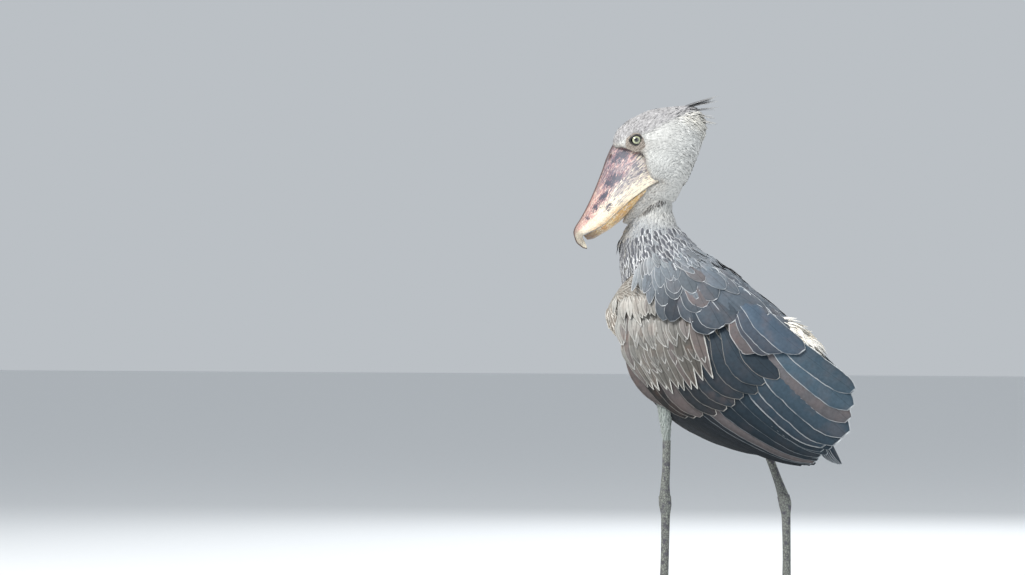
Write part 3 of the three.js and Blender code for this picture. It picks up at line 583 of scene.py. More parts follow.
def new_material(name, roughness, sheen=0.0, coat=0.0, specular=0.5):
    """An empty material with its main shader: returns it, its tree and the shader."""
    material = bpy.data.materials.new(name)
    material.use_nodes = True
    tree = material.node_tree
    shader = tree.nodes["Principled BSDF"]
    shader.inputs["Roughness"].default_value = roughness
    shader.inputs["Sheen Weight"].default_value = sheen
    shader.inputs["Coat Weight"].default_value = coat
    shader.inputs["Specular IOR Level"].default_value = specular
    return material, tree, shader


def maths(tree, operation, *values):
    """The result of one operation on numbers or sockets."""
    return node(tree, "ShaderNodeMath", dict(enumerate(values)), operation=operation).outputs[0]


def scaled(tree, vector, factor):
    """A colour or vector times a number."""
    return node(tree, "ShaderNodeVectorMath", {0: vector, "Scale": factor}, operation="SCALE").outputs[0]


def ranged(tree, value, start, end, low=0.0, high=1.0, curve="LINEAR"):
    """`low` where the value is at `start`, `high` at `end`, a line between and held outside."""
    settings = {"Value": value, "From Min": start, "From Max": end, "To Min": low, "To Max": high}
    return node(tree, "ShaderNodeMapRange", settings, interpolation_type=curve).outputs["Result"]


def blend(tree, share, first, second):
    """Two colours mixed by a share. Each is a socket, a hex code or four numbers."""
    first, second = (tuple(colour(part)) if isinstance(part, str) else part for part in (first, second))
    settings = {"Factor": share, "A": first, "B": second}
    return node(tree, "ShaderNodeMix", settings, data_type="RGBA").outputs["Result"]


def object_place(tree):
    """The place on the object, in metres."""
    return node(tree, "ShaderNodeTexCoord", {}).outputs["Object"]


def noise(tree, place, scale, detail):
    """Cloudy noise whose lumps are 1 / scale wide."""
    settings = {"Vector": place, "Scale": scale, "Detail": detail}
    return node(tree, "ShaderNodeTexNoise", settings).outputs["Fac"]


def dress(tree, shader, tone, *reliefs):
    """Joins the colour to the shader, and the reliefs one over another. Each is a height, its
    strength and its depth in metres."""
    tree.links.new(tone, shader.inputs["Base Color"])
    under = {}
    for height, strength, depth in reliefs:
        settings = {"Height": height, "Strength": strength, "Distance": depth, **under}
        normal = node(tree, "ShaderNodeBump", settings).outputs["Normal"]
        under = {"Normal": normal}
        tree.links.new(normal, shader.inputs["Normal"])


worn_gain = (1.25, 1.0, 0.92)
worn_lift = (0.035, 0.022, 0.018)
barb_spacing = 2.6
barb_slant = -0.9
barb_contrast = 0.035


def feather_material(name, roughness, sheen, specular, barb_depth):
    """Keratin vanes: the tint, a dark stripe by the shaft, worn patches and a pale fringe."""
    material, tree, shader = new_material(name, roughness, sheen=sheen, specular=specular)
    place = object_place(tree)
    read = {
        key: node(tree, "ShaderNodeAttribute", {}, attribute_name=key).outputs
        for key in ("tint", "rim", "side", "tip", "mid", "along", "fringe", "wear", "streak")
    }
    mottle = noise(tree, place, 150.0, 4.0)
    cloud = noise(tree, place, 28.0, 3.0)
    off_shaft = maths(tree, "ABSOLUTE", read["mid"]["Fac"])
    slant = maths(tree, "MULTIPLY_ADD", off_shaft, barb_slant, read["along"]["Fac"])
    wave = maths(tree, "SINE", maths(tree, "MULTIPLY", slant, 2 * np.pi / barb_spacing))
    shade = ranged(tree, mottle, 0.25, 0.75, 0.82, 1.16)
    shade = maths(tree, "MULTIPLY_ADD", wave, barb_contrast, shade)
    base = scaled(tree, read["tint"]["Color"], shade)
    patch = maths(tree, "MULTIPLY", ranged(tree, cloud, 0.46, 0.66), read["wear"]["Fac"])
    worn = {0: base, 1: worn_gain, 2: worn_lift}
    faded = node(tree, "ShaderNodeVectorMath", worn, operation="MULTIPLY_ADD").outputs[0]
    base = blend(tree, patch, base, faded)
    base = scaled(tree, base, ranged(tree, off_shaft, read["streak"]["Fac"], 0.0, 1.0, 0.5, "SMOOTHSTEP"))
    edge = maths(tree, "MINIMUM", read["side"]["Fac"], maths(tree, "MULTIPLY", read["tip"]["Fac"], 0.7))
    edge = maths(tree, "DIVIDE", edge, read["fringe"]["Fac"])
    edge = maths(tree, "MULTIPLY_ADD", mottle, 0.9, edge)
    strip = ranged(tree, edge, 0.9, 1.9, 1.0, 0.0, "SMOOTHSTEP")
    upper_side = ranged(tree, read["mid"]["Fac"], -6.0, 4.0, 0.45, 1.0)
    patchy = maths(tree, "MULTIPLY", upper_side, ranged(tree, cloud, 0.34, 0.52, 0.35, 1.0))
    final = blend(tree, maths(tree, "MULTIPLY", strip, patchy), base, read["rim"]["Color"])
    dress(tree, shader, final, (wave, barb_depth, 0.0004), (mottle, 0.35, 0.001))
    return material


def noisy_material(name, roughness, scale, detail, tones, relief, contrast=None, **gloss):
    """A material whose colour runs between two tones by noise, which is its relief too where
    one is given. The contrast gives the noise values that count as none and all."""
    material, tree, shader = new_material(name, roughness, **gloss)
    grain = noise(tree, object_place(tree), scale, detail)
    if contrast:
        grain = ranged(tree, grain, *contrast)
    reliefs = [(grain, *relief)] if relief else []
    dress(tree, shader, blend(tree, grain, *tones), *reliefs)
    return material


# Flight feathers catch a faint silky light, body feathers are matt and down is dull.
vane_keratin = feather_material("flight feather keratin, stiff and silky", 0.55, 0.0, 0.16, 0.35)
body_keratin = feather_material("contour feather keratin, soft and matt", 0.8, 0.1, 0.2, 0.25)
down_keratin = feather_material("downy feather keratin, loose", 0.9, 0.2, 0.2, 0.1)
print("feather materials:", vane_keratin.name, "/", body_keratin.name, "/", down_keratin.name)

# %% [markdown]
# ## The skin
#
# One seamless skin lies under the coat. Head, neck, torso, rump and thighs are separate
# surfaces that pass into one another. A voxel remesh melts them into one closed mesh with no
# seam, which joins far more gently than a Boolean would. The skin is held inside the bill
# where horn covers it, and pressed in round the eyeballs to make their sockets.

# %% Make the skin
def melt(pieces, voxel, relaxing):
    """Closed surfaces melted into one mesh: a voxel remesh, then a few rounds of smoothing."""
    points, faces = together(pieces)
    mesh = bpy.data.meshes.new("before remesh")
    mesh.from_pydata((points * MM).tolist(), [], [face for group in faces for face in group.tolist()])
    holder = bpy.data.objects.new("before remesh", mesh)
    bpy.context.collection.objects.link(holder)
    voxels = holder.modifiers.new("melt together", "REMESH")
    voxels.mode = "VOXEL"
    voxels.voxel_size = voxel * MM
    relax = holder.modifiers.new("relax", "SMOOTH")
    relax.iterations = relaxing
    melted = holder.evaluated_get(bpy.context.evaluated_depsgraph_get()).to_mesh()
    points = np.empty(len(melted.vertices) * 3)
    melted.vertices.foreach_get("co", points)
    corners = np.empty(len(melted.loops), np.int32)
    melted.loops.foreach_get("vertex_index", corners)
    sizes = np.empty(len(melted.polygons), np.int32)
    melted.polygons.foreach_get("loop_total", sizes)
    starts = np.concatenate([[0], np.cumsum(sizes)[:-1]])
    faces = [corners[starts[sizes == size][:, None] + np.arange(size)] for size in np.unique(sizes)]
    bpy.data.objects.remove(holder)
    return points.reshape(-1, 3) / MM, faces


coat_depth = {"head": -3.0, "neck": -6.0, "torso": -8.0, "thigh": -3.5, "rump": -10.0}
skin_parts = [
    closed_tube(surface_grid(head_surface, head_start, head_end, 90, 72, coat_depth["head"])),
    closed_tube(surface_grid(neck_surface, 0, neck_end, 60, 72, coat_depth["neck"])),
    closed_tube(surface_grid(torso_surface, -177, 289, 90, 72, coat_depth["torso"])),
    closed_tube(surface_grid(rump_surface, 160, 292, 30, 40, coat_depth["rump"])),
]
for side in ("left", "right"):
    skin_parts.append(closed_tube(surface_grid(thigh_surface(side), 0, 4, 40, 40, coat_depth["thigh"])))
skin_points, skin_faces = melt(skin_parts, 2.8, 4)
print("skin:", len(skin_points), "points")


# The skin lies this many millimetres under the surface of the horn.
horn_depth = 2.5


def under_bill(points):
    """Points in front of the edge of the face are drawn in until they lie inside the horn."""
    along, up, x = head_places(points)
    in_front = before_face(along, up) > 0
    above_chin = up > chin_up(along)[0] + 1.0
    horn = in_front & above_chin & (along < 235) & (along > 8)
    limit = np.maximum(bill_limit(along, np.maximum(up, mouth_up(along)[0])) - horn_depth, 0.5)
    x = np.where(horn, np.clip(x, -limit, limit), x)
    up = np.where(horn, np.minimum(up, culmen_up(along)[0] - horn_depth), up)
    return np.where(horn[..., None], on_head(along, up, x), points)


def round_eyes(points):
    """The socket: within the lids' ring the skin sinks to a cup behind the eyeball, and just
    outside it a low fold stands up."""
    along, up, x = head_places(points)
    away = np.hypot(along - eye_along, up - eye_up)
    beside = np.abs(x) > 25
    fold = 1.3 * np.exp(-((away - 16.5) / 2.6) ** 2) - 9.0 * smooth((11.5 - away) / 3.0)
    return np.where(beside[..., None], on_head(along, up, x + np.sign(x) * fold), points)


skin_points = round_eyes(under_bill(skin_points))
# Matt and finely grained, so that a gap between feathers looks like down and not like a hole.
skin_material, tree, shader = new_material("bird skin with close down, matt", 0.85, sheen=0.2, specular=0.25)
tint = node(tree, "ShaderNodeAttribute", {}, attribute_name="tint").outputs["Color"]
grain = noise(tree, object_place(tree), 260.0, 4.0)
dress(tree, shader, scaled(tree, tint, ranged(tree, grain, 0.3, 0.7, 0.5, 0.95)), (grain, 0.6, 0.001))
skin = add_piece(
    "skin", skin_points, skin_faces, skin_material, {"tint": markings(skin_points)}
)
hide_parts("head", "neck", "torso", "rump", "thigh_left", "thigh_right")

# %% [markdown]
# ## Small feathers
#
# A contour feather is a slim leaf, rooted in the skin and lying back over the next ones. Hair
# particles could draw them, but an exported model keeps only real mesh. So each one is a
# small closed tube of five to seven rings of four points: left edge, ridge, right edge and
# underside. All the feathers of a region are worked out in one go as one big array.

# %% Closed small feathers from arrays
def leaf_width(t, shape):
    """Share of the full width at t from root to tip: it opens smoothly and closes by a
    power towards the tip."""
    opening = shape["root"] + (1 - shape["root"]) * smooth(t / shape["widest"])
    late = np.clip((t - shape["start"]) / (1 - shape["start"]), 0, 1)
    return opening * (shape["end"] + (1 - shape["end"]) * (1 - late ** shape["power"]))


leaf_shapes = {
    "round": {"root": 0.35, "widest": 0.4, "start": 0.5, "power": 2.2, "end": 0.2},
    "lance": {"root": 0.4, "widest": 0.35, "start": 0.35, "power": 1.3, "end": 0.08},
    "plume": {"root": 0.5, "widest": 0.3, "start": 0.2, "power": 1.0, "end": 0.06},
}
# Each small feather gets a square of this share of the OFBake map.
patch_size = 0.003
# Small feathers have these values unless their own look says otherwise.
usual_look = {"rows": 6, "shape": "lance", "thickness": 0.6, "vary": 0.14, "tip_shade": 0.9, "wear": 0.0}


def outward(points, faces):
    """Faces of many like closed shapes, each turned so that its volume is positive.
    points is (shapes, corners, 3) and faces is (faces, 4) for one shape."""
    inwards = signed_volumes(points[:, faces]) < 0
    first = (np.arange(len(points)) * points.shape[1])[:, None, None]
    turned = np.where(inwards[:, None, None], faces[None, :, ::-1], faces[None])
    return (turned + first).reshape(-1, 4)


def leaves(name, root, lie, out, look, material, uv, seed):
    """Small feathers at `root`, pointing along `lie`, with the skin's normal `out`. The
    midline runs `length` along the lie, rises by `lift` and curves down by half the `bend`
    times the square of the distance. `look` gives sizes and colours, alike or one for each,
    wherever they differ from the usual ones."""
    look = {**usual_look, **look}
    count = len(root)
    draw = np.random.default_rng(seed)
    rows = look["rows"]
    t = np.linspace(0, 1, rows) ** 0.9
    length = look["length"] * draw.uniform(0.82, 1.15, count)
    width = look["width"] * draw.uniform(0.85, 1.15, count)
    swing = draw.normal(0, look["swing"], count)
    across = unit(np.cross(out, lie))
    lie = unit(lie + across * swing[:, None])
    across = unit(np.cross(out, lie))
    lift = look["lift"] * draw.uniform(0.5, 1.35, count)
    distance = length[:, None] * t
    height = lift[:, None] * smooth(t / 0.45) - look["sink"] * (1 - smooth(t / 0.25))
    bend = np.broadcast_to(look["bend"], count)[:, None]
    height = height - 0.5 * bend * distance ** 2
    roll = draw.normal(0, look["roll"], count)[:, None]
    centre = root[:, None] + lie[:, None] * distance[..., None] + out[:, None] * height[..., None]
    half = 0.5 * width[:, None] * leaf_width(t, leaf_shapes[look["shape"]])
    thick = look["thickness"] * (1 - 0.75 * t)
    tilt = roll * half
    droop = look["camber"] * half
    ring = np.stack([
        centre - across[:, None] * half[..., None] - out[:, None] * (droop + tilt)[..., None],
        centre + out[:, None] * (thick / 2)[None, :, None],
        centre + across[:, None] * half[..., None] - out[:, None] * (droop - tilt)[..., None],
        centre - out[:, None] * (thick / 2)[None, :, None],
    ], axis=2)
    points = ring.reshape(count, rows * 4, 3)
    caps = np.array([[3, 2, 1, 0], [rows * 4 - 4, rows * 4 - 3, rows * 4 - 2, rows * 4 - 1]])
    faces = outward(points, np.concatenate([tube_faces(rows, 4), caps]))

    def spread(values):
        """A value for all, for each feather, or for each row and ring point, as one long array."""
        values = np.asarray(values, float)
        if values.ndim == 1:
            values = values[:, None, None]
        return np.broadcast_to(values, (count, rows, 4)).reshape(-1)

    edge_share = np.array([0.0, 1.0, 0.0, 1.0])
    edge_side = np.array([-1.0, 0.0, 1.0, 0.0])
    vary = opaque(draw.normal(1, look["vary"], (count, 1)) * np.ones(3))
    fade = opaque(mix(1.12, look["tip_shade"], t)[:, None] * np.ones(3))
    tint = np.clip(look["tint"] * vary, 0, 1)[:, None] * fade
    attributes = {
        "tint": np.repeat(np.clip(tint, 0, 1), 4, axis=1).reshape(-1, 4),
        "rim": np.repeat(np.broadcast_to(look["rim"], (count, 4)), rows * 4, axis=0),
        "side": spread(half[..., None] * edge_share),
        "tip": spread((length[:, None] - distance)[..., None]),
        "mid": spread(half[..., None] * edge_side),
        "along": spread(distance[..., None]),
        "fringe": spread(look["fringe"] * draw.uniform(0.6, 1.3, count)),
        "wear": spread(look["wear"]),
        "streak": spread(look["streak"]),
    }
    patch = patch_size / 2 * np.stack(np.broadcast_arrays(edge_side, (2 * t - 1)[:, None]), axis=-1)
    places = np.clip(uv, patch_size, 1 - patch_size)[:, None, None] + patch[None]
    places = places.reshape(-1, 2)
    return add_piece(name, points.reshape(-1, 3), [faces], material, attributes, places, rounded=False)


def roots_on(surface, start, end, gap_along, gap_round, extra, seed):
    """Feather roots in staggered rows over a surface of (place, turn), with a little
    disorder: row spacing and spacing round are true millimetres, measured on the surface.
    Returns roots, the lie towards `end`, outward normals and a place on the unwrap."""
    draw = np.random.default_rng(seed)
    fine = np.linspace(start, end, 200)
    spine = surface(fine, np.full_like(fine, np.pi / 2), extra)
    other = surface(fine, np.full_like(fine, 0.0), extra)
    steps = sum(np.linalg.norm(np.diff(line, axis=0), axis=1) for line in (spine, other))
    travelled = np.concatenate([[0], np.cumsum(steps / 2)])
    rows = np.interp(np.arange(0, travelled[-1], gap_along), travelled, fine)
    turns = np.linspace(0, 2 * np.pi, 97)
    places, angles = [], []
    for index, place in enumerate(rows):
        loop = surface(np.full_like(turns, place), turns, extra)
        lengths = np.concatenate([[0], np.cumsum(np.linalg.norm(np.diff(loop, axis=0), axis=1))])
        count = max(6, int(lengths[-1] / gap_round))
        spots = (np.arange(count) + 0.5 * (index % 2) + draw.uniform(-0.3, 0.3, count)) / count
        angles.append(np.interp((spots % 1.0) * lengths[-1], lengths, turns))
        places.append(place + draw.uniform(-0.35, 0.35, count) * (rows[1] - rows[0]))
    place, turn = np.concatenate(places), np.concatenate(angles)
    place = np.clip(place, min(start, end), max(start, end))
    step = (end - start) * 0.002
    root = surface(place, turn, extra)
    lie = unit(surface(place + step, turn, extra) - surface(place - step, turn, extra))
    round_it = surface(place, turn + 0.01, extra) - surface(place, turn - 0.01, extra)
    out = unit(np.cross(round_it, lie))
    middle = surface(place, turn + np.pi, extra)
    out *= np.sign(np.einsum("ij,ij->i", out, root - middle))[:, None]
    unwrap = np.stack([turn / (2 * np.pi) % 1.0, (place - start) / (end - start)], axis=-1)
    return root, lie, out, unwrap


def inside_tube(shape, points, extra):
    """True for points inside an oval tube round the body's axis."""
    x, along, up = body_places(points)
    top, bottom, half_width = shape(along)
    level = (2 * up - top - bottom) / (top - bottom + 2 * extra)
    return (x / (half_width + extra)) ** 2 + level ** 2 < 1


# The neck's rings lean back by about this angle.
usual_tilt = np.radians(20)


def inside_neck(points, extra):
    """True for points inside the neck: the ring at their height is found first."""
    levels = np.linspace(0, neck_end, 141)
    y, z = neck_shape(levels)[:2]
    middle_y = np.interp(points[..., 2], z[::-1], y[::-1])
    height = points[..., 2] - np.tan(usual_tilt) * (points[..., 1] - middle_y)
    level = np.interp(height, z[::-1], levels[::-1])
    y, z, depth, width, tilt = neck_shape(level)
    tilt = np.radians(tilt)
    reach = (points[..., 1] - y) * np.cos(tilt) + (points[..., 2] - z) * np.sin(tilt)
    within = (points[..., 0] / (width + extra)) ** 2 + (reach / (depth + extra)) ** 2 < 1
    return within & (height > 668) & (height < 886)


def inside_head(points, extra):
    """True for points inside the head's own oval sections."""
    along, up, x = head_places(points)
    top, bottom, half_width = head_shape(along)
    level = (2 * up - top - bottom) / (top - bottom + 2 * extra)
    share = np.abs(x / (half_width + extra)) ** (1 / fullness)
    return (share ** 2 + level ** 2 < 1) & (along > head_start) & (along < head_end)


def kept(roots, keep):
    """Only the feathers for which `keep` is true."""
    return [part[keep] for part in roots]


def laid(lie, out):
    """The lie made square to the normal: less its own part along it, at unit length."""
    lie = unit(lie)
    return unit(lie - out * np.einsum("ij,ij->i", lie, out)[:, None])


# %% [markdown]
# ## Coat of the head
#
# The face has the smallest feathers, close as fur, white on the cheek and streaked with grey
# on the crown. They point back from the bill, and on the cheek and nape they turn down to the
# neck. None grows on the horn, or in the bare ring round the lids.

# %% Head feathers
head_roots = roots_on(head_surface, 96, 366, 4.3, 3.9, coat_depth["head"], 21)
root = head_roots[0]
along, up = head_places(root)[:2]
away_from_eye = np.hypot(along - eye_along, up - eye_up)
on_horn = (before_face(along, up) > -1.5) & (up > chin_up(along)[0] - 1)
bare = spot(along, up, 229, 24, 12, 10) > 0.5 + 0.16 * ripples(root, 7.0, 9)
clear_of_lids = away_from_eye > 14.0 + ripples(root, 7.0, 10)
keep = ~on_horn & ~bare & clear_of_lids & ~inside_neck(root, -9)
root, lie, out, unwrap = kept(head_roots, keep)
along, up = head_places(root)[:2]
crown = smooth((up - crown_line(along)[0] + 5) / 11)
hanging = 1.2 * (1 - crown) * smooth((along - 205) / 90) + 0.9 * smooth((-50 - up) / 30) * (along > 150)
lie = laid(lie + hanging[:, None] * np.array([0.0, 0.25, -1.0]), out)
away_from_eye = np.hypot(along - eye_along, up - eye_up)
near_face = smooth((before_face(along, up) + 34) / 30)
near_eye = smooth((30 - away_from_eye) / 12)
small = np.minimum(1, 0.5 + 0.5 * np.minimum(1 - near_face, 1 - near_eye))
nape = smooth((along - 312) / 40) * smooth((20 - up) / 30)
nape = np.maximum(nape, 0.75 * smooth((-45 - up) / 35) * smooth((along - 215) / 40))
jaw = smooth((18 - over_the_crease(root)) / 12) * smooth((250 - along) / 40 + 1)
tint = markings(root)
head_look = {
    "rows": 5, "length": 12.5 * small * (1 + 0.9 * nape + 0.5 * jaw), "width": 4.6 * (0.7 + 0.3 * small),
    "swing": 0.1 + 0.22 * nape + 0.08 * crown, "lift": 0.9 * small * (1 + 5.0 * nape + 1.8 * jaw),
    "sink": 0.8, "bend": 0.005, "roll": 0.08 + 0.12 * crown, "thickness": 0.35, "camber": 0.15,
    "tint": tint, "vary": 0.06 + 0.05 * crown[:, None] + 0.12 * nape[:, None], "tip_shade": 1.0,
    "rim": mix(tint, colour("#F1F1EF"), 0.4), "fringe": 0.5, "streak": 0.01,
}
half = len(root) // 2
order = np.argsort(along)
for index, chosen in enumerate((order[:half], order[half:])):
    look = {
        key: value[chosen] if isinstance(value, np.ndarray) and len(value) == len(root) else value
        for key, value in head_look.items()
    }
    leaves(f"head_coat_{index}", root[chosen], lie[chosen], out[chosen], look, body_keratin,
           unwrap[chosen], 31 + index)
print("head feathers:", len(root))

# %% [markdown]
# ## Coat of the neck and the body
#
# Neck feathers are pointed. Under the jaw they are fine and pale. Lower down they are dark
# with a white edge, and their tips make a net of white lines. Breast, back and belly have
# broader ones. Where two surfaces meet, roots that would lie inside the other are dropped.

# %% Neck feathers
neck_sets = {
    "upper": {"seed": 22, "gaps": (5.6, 4.6), "ends": (0.05, 3.6), "rows": 5},
    "lower": {"seed": 27, "gaps": (12.5, 9.6), "ends": (2.2, 6.6), "rows": 6},
}
for word, plan in neck_sets.items():
    roots = roots_on(neck_surface, *plan["ends"], *plan["gaps"], coat_depth["neck"], plan["seed"])
    root = roots[0]
    edge = 800 + 9 * ripples(root, 40.0, 8) + 0.25 * (root[:, 1] + 170)
    keep = ~inside_head(root, -2) & ~inside_tube(torso_shape, root, -16)
    keep &= (root[:, 2] > edge - 10) if word == "upper" else (root[:, 2] < edge + 12)
    root, lie, out, unwrap = kept(roots, keep)
    tint = markings(root)
    # Neck feathers just under the jaw's edge are painted dark: painted shade cast by the overhanging head
    # feathers.
    crease_shade = smooth((over_the_crease(root) - 2) / 5)
    tint = mix(tint, colour("#35312F"), (0.9 * crease_shade)[:, None])
    fine = {
        "rows": plan["rows"], "length": 15.0, "width": 4.8, "swing": 0.2, "lift": 1.3, "sink": 1.5,
        "bend": 0.004, "roll": 0.18, "thickness": 0.4, "camber": 0.2, "tint": darker(tint, 0.92),
        "vary": 0.13, "tip_shade": 0.98, "rim": mix(tint, colour("#F2F1EE"), 0.6), "fringe": 0.7,
        "streak": 0.3,
    }
    back = smooth((root[:, 1] + 120) / 70)[:, None]
    front = smooth((-190 - root[:, 1]) / 40)[:, None]
    core = mix(mix(colour("#696B71"), colour("#6C6C70"), front), colour("#82888F"), back)
    net = {
        **fine, "length": 29.0, "width": 12.6, "swing": 0.13, "lift": 3.4, "bend": 0.006, "roll": 0.16,
        "thickness": 0.6, "camber": 0.22, "tint": core, "vary": 0.14, "tip_shade": 0.85,
        "rim": mix(colour("#EDEEEF"), colour("#C9CED2"), back), "fringe": 1.9 - 0.7 * back[:, 0],
        "streak": 1.2,
    }
    look = fine if word == "upper" else net
    seed = plan["seed"] + 19
    leaves(f"neck_coat_{word}", root, lie, out, look, body_keratin, unwrap, seed)
    print("neck feathers:", len(root))

# %% Body feathers
roots = roots_on(torso_surface, -172, 286, 12.5, 11.0, coat_depth["torso"], 23)
keep = ~inside_neck(roots[0], -10) & ~inside_tube(rump_shape, roots[0], -12)
root, lie, out, unwrap = kept(roots, keep)
along, up = body_places(root)[1:]
tint = markings(root)
on_back = smooth((up - 30) / 30)
body_look = {
    "shape": "round", "length": 36.0, "width": 15.0 + 5.0 * on_back, "swing": 0.16 - 0.06 * on_back,
    "lift": 5.0 - 3.0 * np.maximum(smooth((-90 - along) / 40), on_back), "sink": 3.0,
    "bend": 0.009 - 0.004 * on_back, "roll": 0.12, "thickness": 0.8, "camber": 0.25,
    "tint": mix(darker(tint, 0.72), colour("#7C858D"), on_back[:, None]),
    "rim": mix(tint, colour("#E9E9E8"), 0.6), "fringe": 1.5, "wear": 0.2, "streak": 0.9,
}
leaves("body_coat", root, lie, out, body_look, body_keratin, unwrap, 42)
print("body feathers:", len(root))

# %% Thigh feathers
for side, seed in (("left", 24), ("right", 25)):
    roots = roots_on(thigh_surface(side), 0.1, 3.8, 6.5, 5.2, coat_depth["thigh"], seed)
    root, lie, out, unwrap = kept(roots, ~inside_tube(torso_shape, roots[0], -12))
    slim = smooth((440 - root[:, 2]) / 90)
    tint = markings(root)
    thigh_look = {
        "rows": 5, "length": 20 - 9 * slim, "width": 7.5 - 3.5 * slim, "swing": 0.14,
        "lift": 2.2 - 1.2 * slim, "sink": 1.5, "bend": 0.002, "roll": 0.1, "camber": 0.45,
        "tint": darker(tint, 0.92), "vary": 0.07, "tip_shade": 0.98,
        "rim": mix(tint, colour("#D9DBDB"), 0.5), "fringe": 0.7, "streak": 0.2,
    }
    leaves(f"thigh_coat_{side}", root, lie, out, thigh_look, body_keratin, unwrap, seed)
    print("thigh feathers:", len(root))

# %% [markdown]
# ## Rump
#
# The rump's feathers are long, loose and nearly white, and stand up as a soft cushion between
# the wings' tips. Narrow curved plumes in many directions give that softness.

# %% Rump plumes
roots = roots_on(rump_surface, 160, 290, 6.4, 5.2, coat_depth["rump"], 26)
keep = ~inside_tube(torso_shape, roots[0], -10) & (body_places(roots[0])[1] < 246)
root, lie, out, unwrap = kept(roots, keep)
rump_look = {
    "rows": 7, "shape": "plume", "length": 46.0, "width": 10.0, "swing": 0.34, "lift": 12.5, "sink": 2.0,
    "bend": 0.006, "roll": 0.25, "camber": 0.12, "tint": np.tile(tones["rump"], (len(root), 1)),
    "vary": 0.04, "tip_shade": 1.0, "rim": colour("#FBF9F4"), "fringe": 0.8, "streak": 0.01,
}
leaves("rump_coat", root, lie, out, rump_look, down_keratin, unwrap, 43)
print("rump plumes:", len(root))

# %% [markdown]
# ## Long feathers of the wings
#
# A folded wing is rows of overlapping vanes, the longest lowest. Each row is set by the places
# of its first and last root and tip on an oval shell round the body. A vane is a closed sheet
# of rings across a curved path, so that it bends with the body it lies on.

# %% The wing's shell
wing_shell = profile([
    [-175, 68, 62, -140], [-150, 82, 80, -172], [-100, 91, 93, -212], [-40, 96, 99, -234],
    [30, 97, 101, -242], [110, 94, 101, -240], [200, 83, 97, -226], [300, 66, 99, -200], [380, 48, 102, -178],
    [460, 32, 104, -160],
])
girth_radius = 150.0


def girth_at(along, up):
    """Distance round the shell from its widest line: girth radius times the arcsine of the
    height's share."""
    top, bottom = wing_shell(along)[1:]
    return girth_radius * np.arcsin(np.clip((2 * up - top - bottom) / (top - bottom), -1, 1))


def on_wing(side, along, girth, lift):
    """A point on the oval shell, raised by `lift`: the girth over its radius is the angle."""
    half_width, top, bottom = wing_shell(along)
    turn = np.clip(girth / girth_radius, -np.pi / 2, np.pi / 2)
    x = side * np.maximum((half_width + lift) * np.cos(turn), 0.4)
    return on_body(x, along, (top + bottom) / 2 + ((top - bottom) / 2 + lift) * np.sin(turn))


arm_outline = profile([
    [-156, -62, -92, 4], [-142, -6, -118, 8], [-120, 48, -132, 9], [-88, 68, -138, 10], [-50, 78, -112, 11],
    [0, 84, -66, 13], [60, 84, -22, 15], [120, 82, 22, 16], [170, 80, 58, 15], [190, 78, 70, 13],
])
arm_depth = -13.0


def arm_surface(side):
    """The wing's fleshy front: a flat oval tube between its upper and lower edges, from
    `arm_depth` under the shell to its own lift over it."""

    def surface(along, turn, extra):
        top, bottom, lift = arm_outline(along)
        share = 0.5 - 0.5 * np.cos(turn)
        up = top + (bottom - top) * share
        middle = (lift + arm_depth) / 2
        half_depth = (lift - arm_depth) / 2 + extra
        bulge = np.sign(np.sin(turn)) * np.abs(np.sin(turn)) ** 0.5
        return on_wing(side, along, girth_at(along, up), middle + half_depth * bulge)

    return surface


print("wing shell is", float(wing_shell(30.0)[0]) * 2, "mm wide")

# %% Closed sheets for long vanes
vane_shapes = {
    "broad": {"root": 0.3, "widest": 0.5, "start": 0.6, "power": 2.6, "end": 0.16},
    "lance": {"root": 0.3, "widest": 0.45, "start": 0.45, "power": 1.7, "end": 0.05},
    "flight": {"root": 0.28, "widest": 0.5, "start": 0.8, "power": 2.6, "end": 0.14},
    "tertial": {"root": 0.3, "widest": 0.5, "start": 0.78, "power": 2.8, "end": 0.3},
    "plume": {"root": 0.4, "widest": 0.4, "start": 0.4, "power": 1.3, "end": 0.05},
    "round": {"root": 0.35, "widest": 0.45, "start": 0.5, "power": 2.4, "end": 0.16},
}
columns = np.array([-1.0, -0.55, 0.0, 0.55, 1.0])
ring_share = np.concatenate([columns, columns[::-1]])
ring_face = np.concatenate([np.ones(len(columns)), -np.ones(len(columns))])
# Long vanes have these values unless their own look says otherwise.
usual_vane = {"nicks": 0.03, "ridge": 0.5, "thickness": 0.5, "camber": 0.02}


def one_vane(point_at, length, width, look, draw):
    """Rings of one vane: half width times each column's share across, and half the thickness
    up or down. `point_at(place, offset, rise)` puts them in space. The edges get a few
    shallow nicks where barbs have parted. Returns the rings, their data and t."""
    look = {**usual_vane, **look}
    rows = look["rows"]
    t = np.linspace(0, 1, rows)[:, None]
    t = 1 - (1 - t) ** 1.25
    half = 0.5 * width * leaf_width(t, vane_shapes[look["shape"]])
    nick = 1 - look["nicks"] * np.clip(draw.normal(0, 1, (rows, 2)), 0, 2) * (t > 0.25)
    edge = np.where(ring_share < 0, nick[:, :1], nick[:, 1:])
    offset = ring_share * half * np.where(np.abs(ring_share) > 0.9, edge, 1.0)
    ridge = look["ridge"] * np.exp(-(ring_share / 0.3) ** 2) * (1 - 0.7 * t)
    rise = ring_face * (look["thickness"] / 2) * (1 - 0.6 * np.abs(ring_share)) + ridge * (ring_face > 0)
    rise = rise - look["camber"] * np.abs(ring_share) ** 2 * half
    points = point_at(t + 0 * ring_share, offset, rise)
    data = {
        "side": np.maximum(half - np.abs(ring_share * half), 0),
        "tip": (1 - t) * length + 0 * ring_share,
        "mid": ring_share * half,
        "along": t * length + 0 * ring_share,
    }
    return points, data, t


def fading(base, fade):
    """A tone times a fade for each ring of a vane, from root to tip, and opaque."""
    tint = np.clip(base[None] * fade, 0, 1)
    tint[:, 3] = 1
    return tint


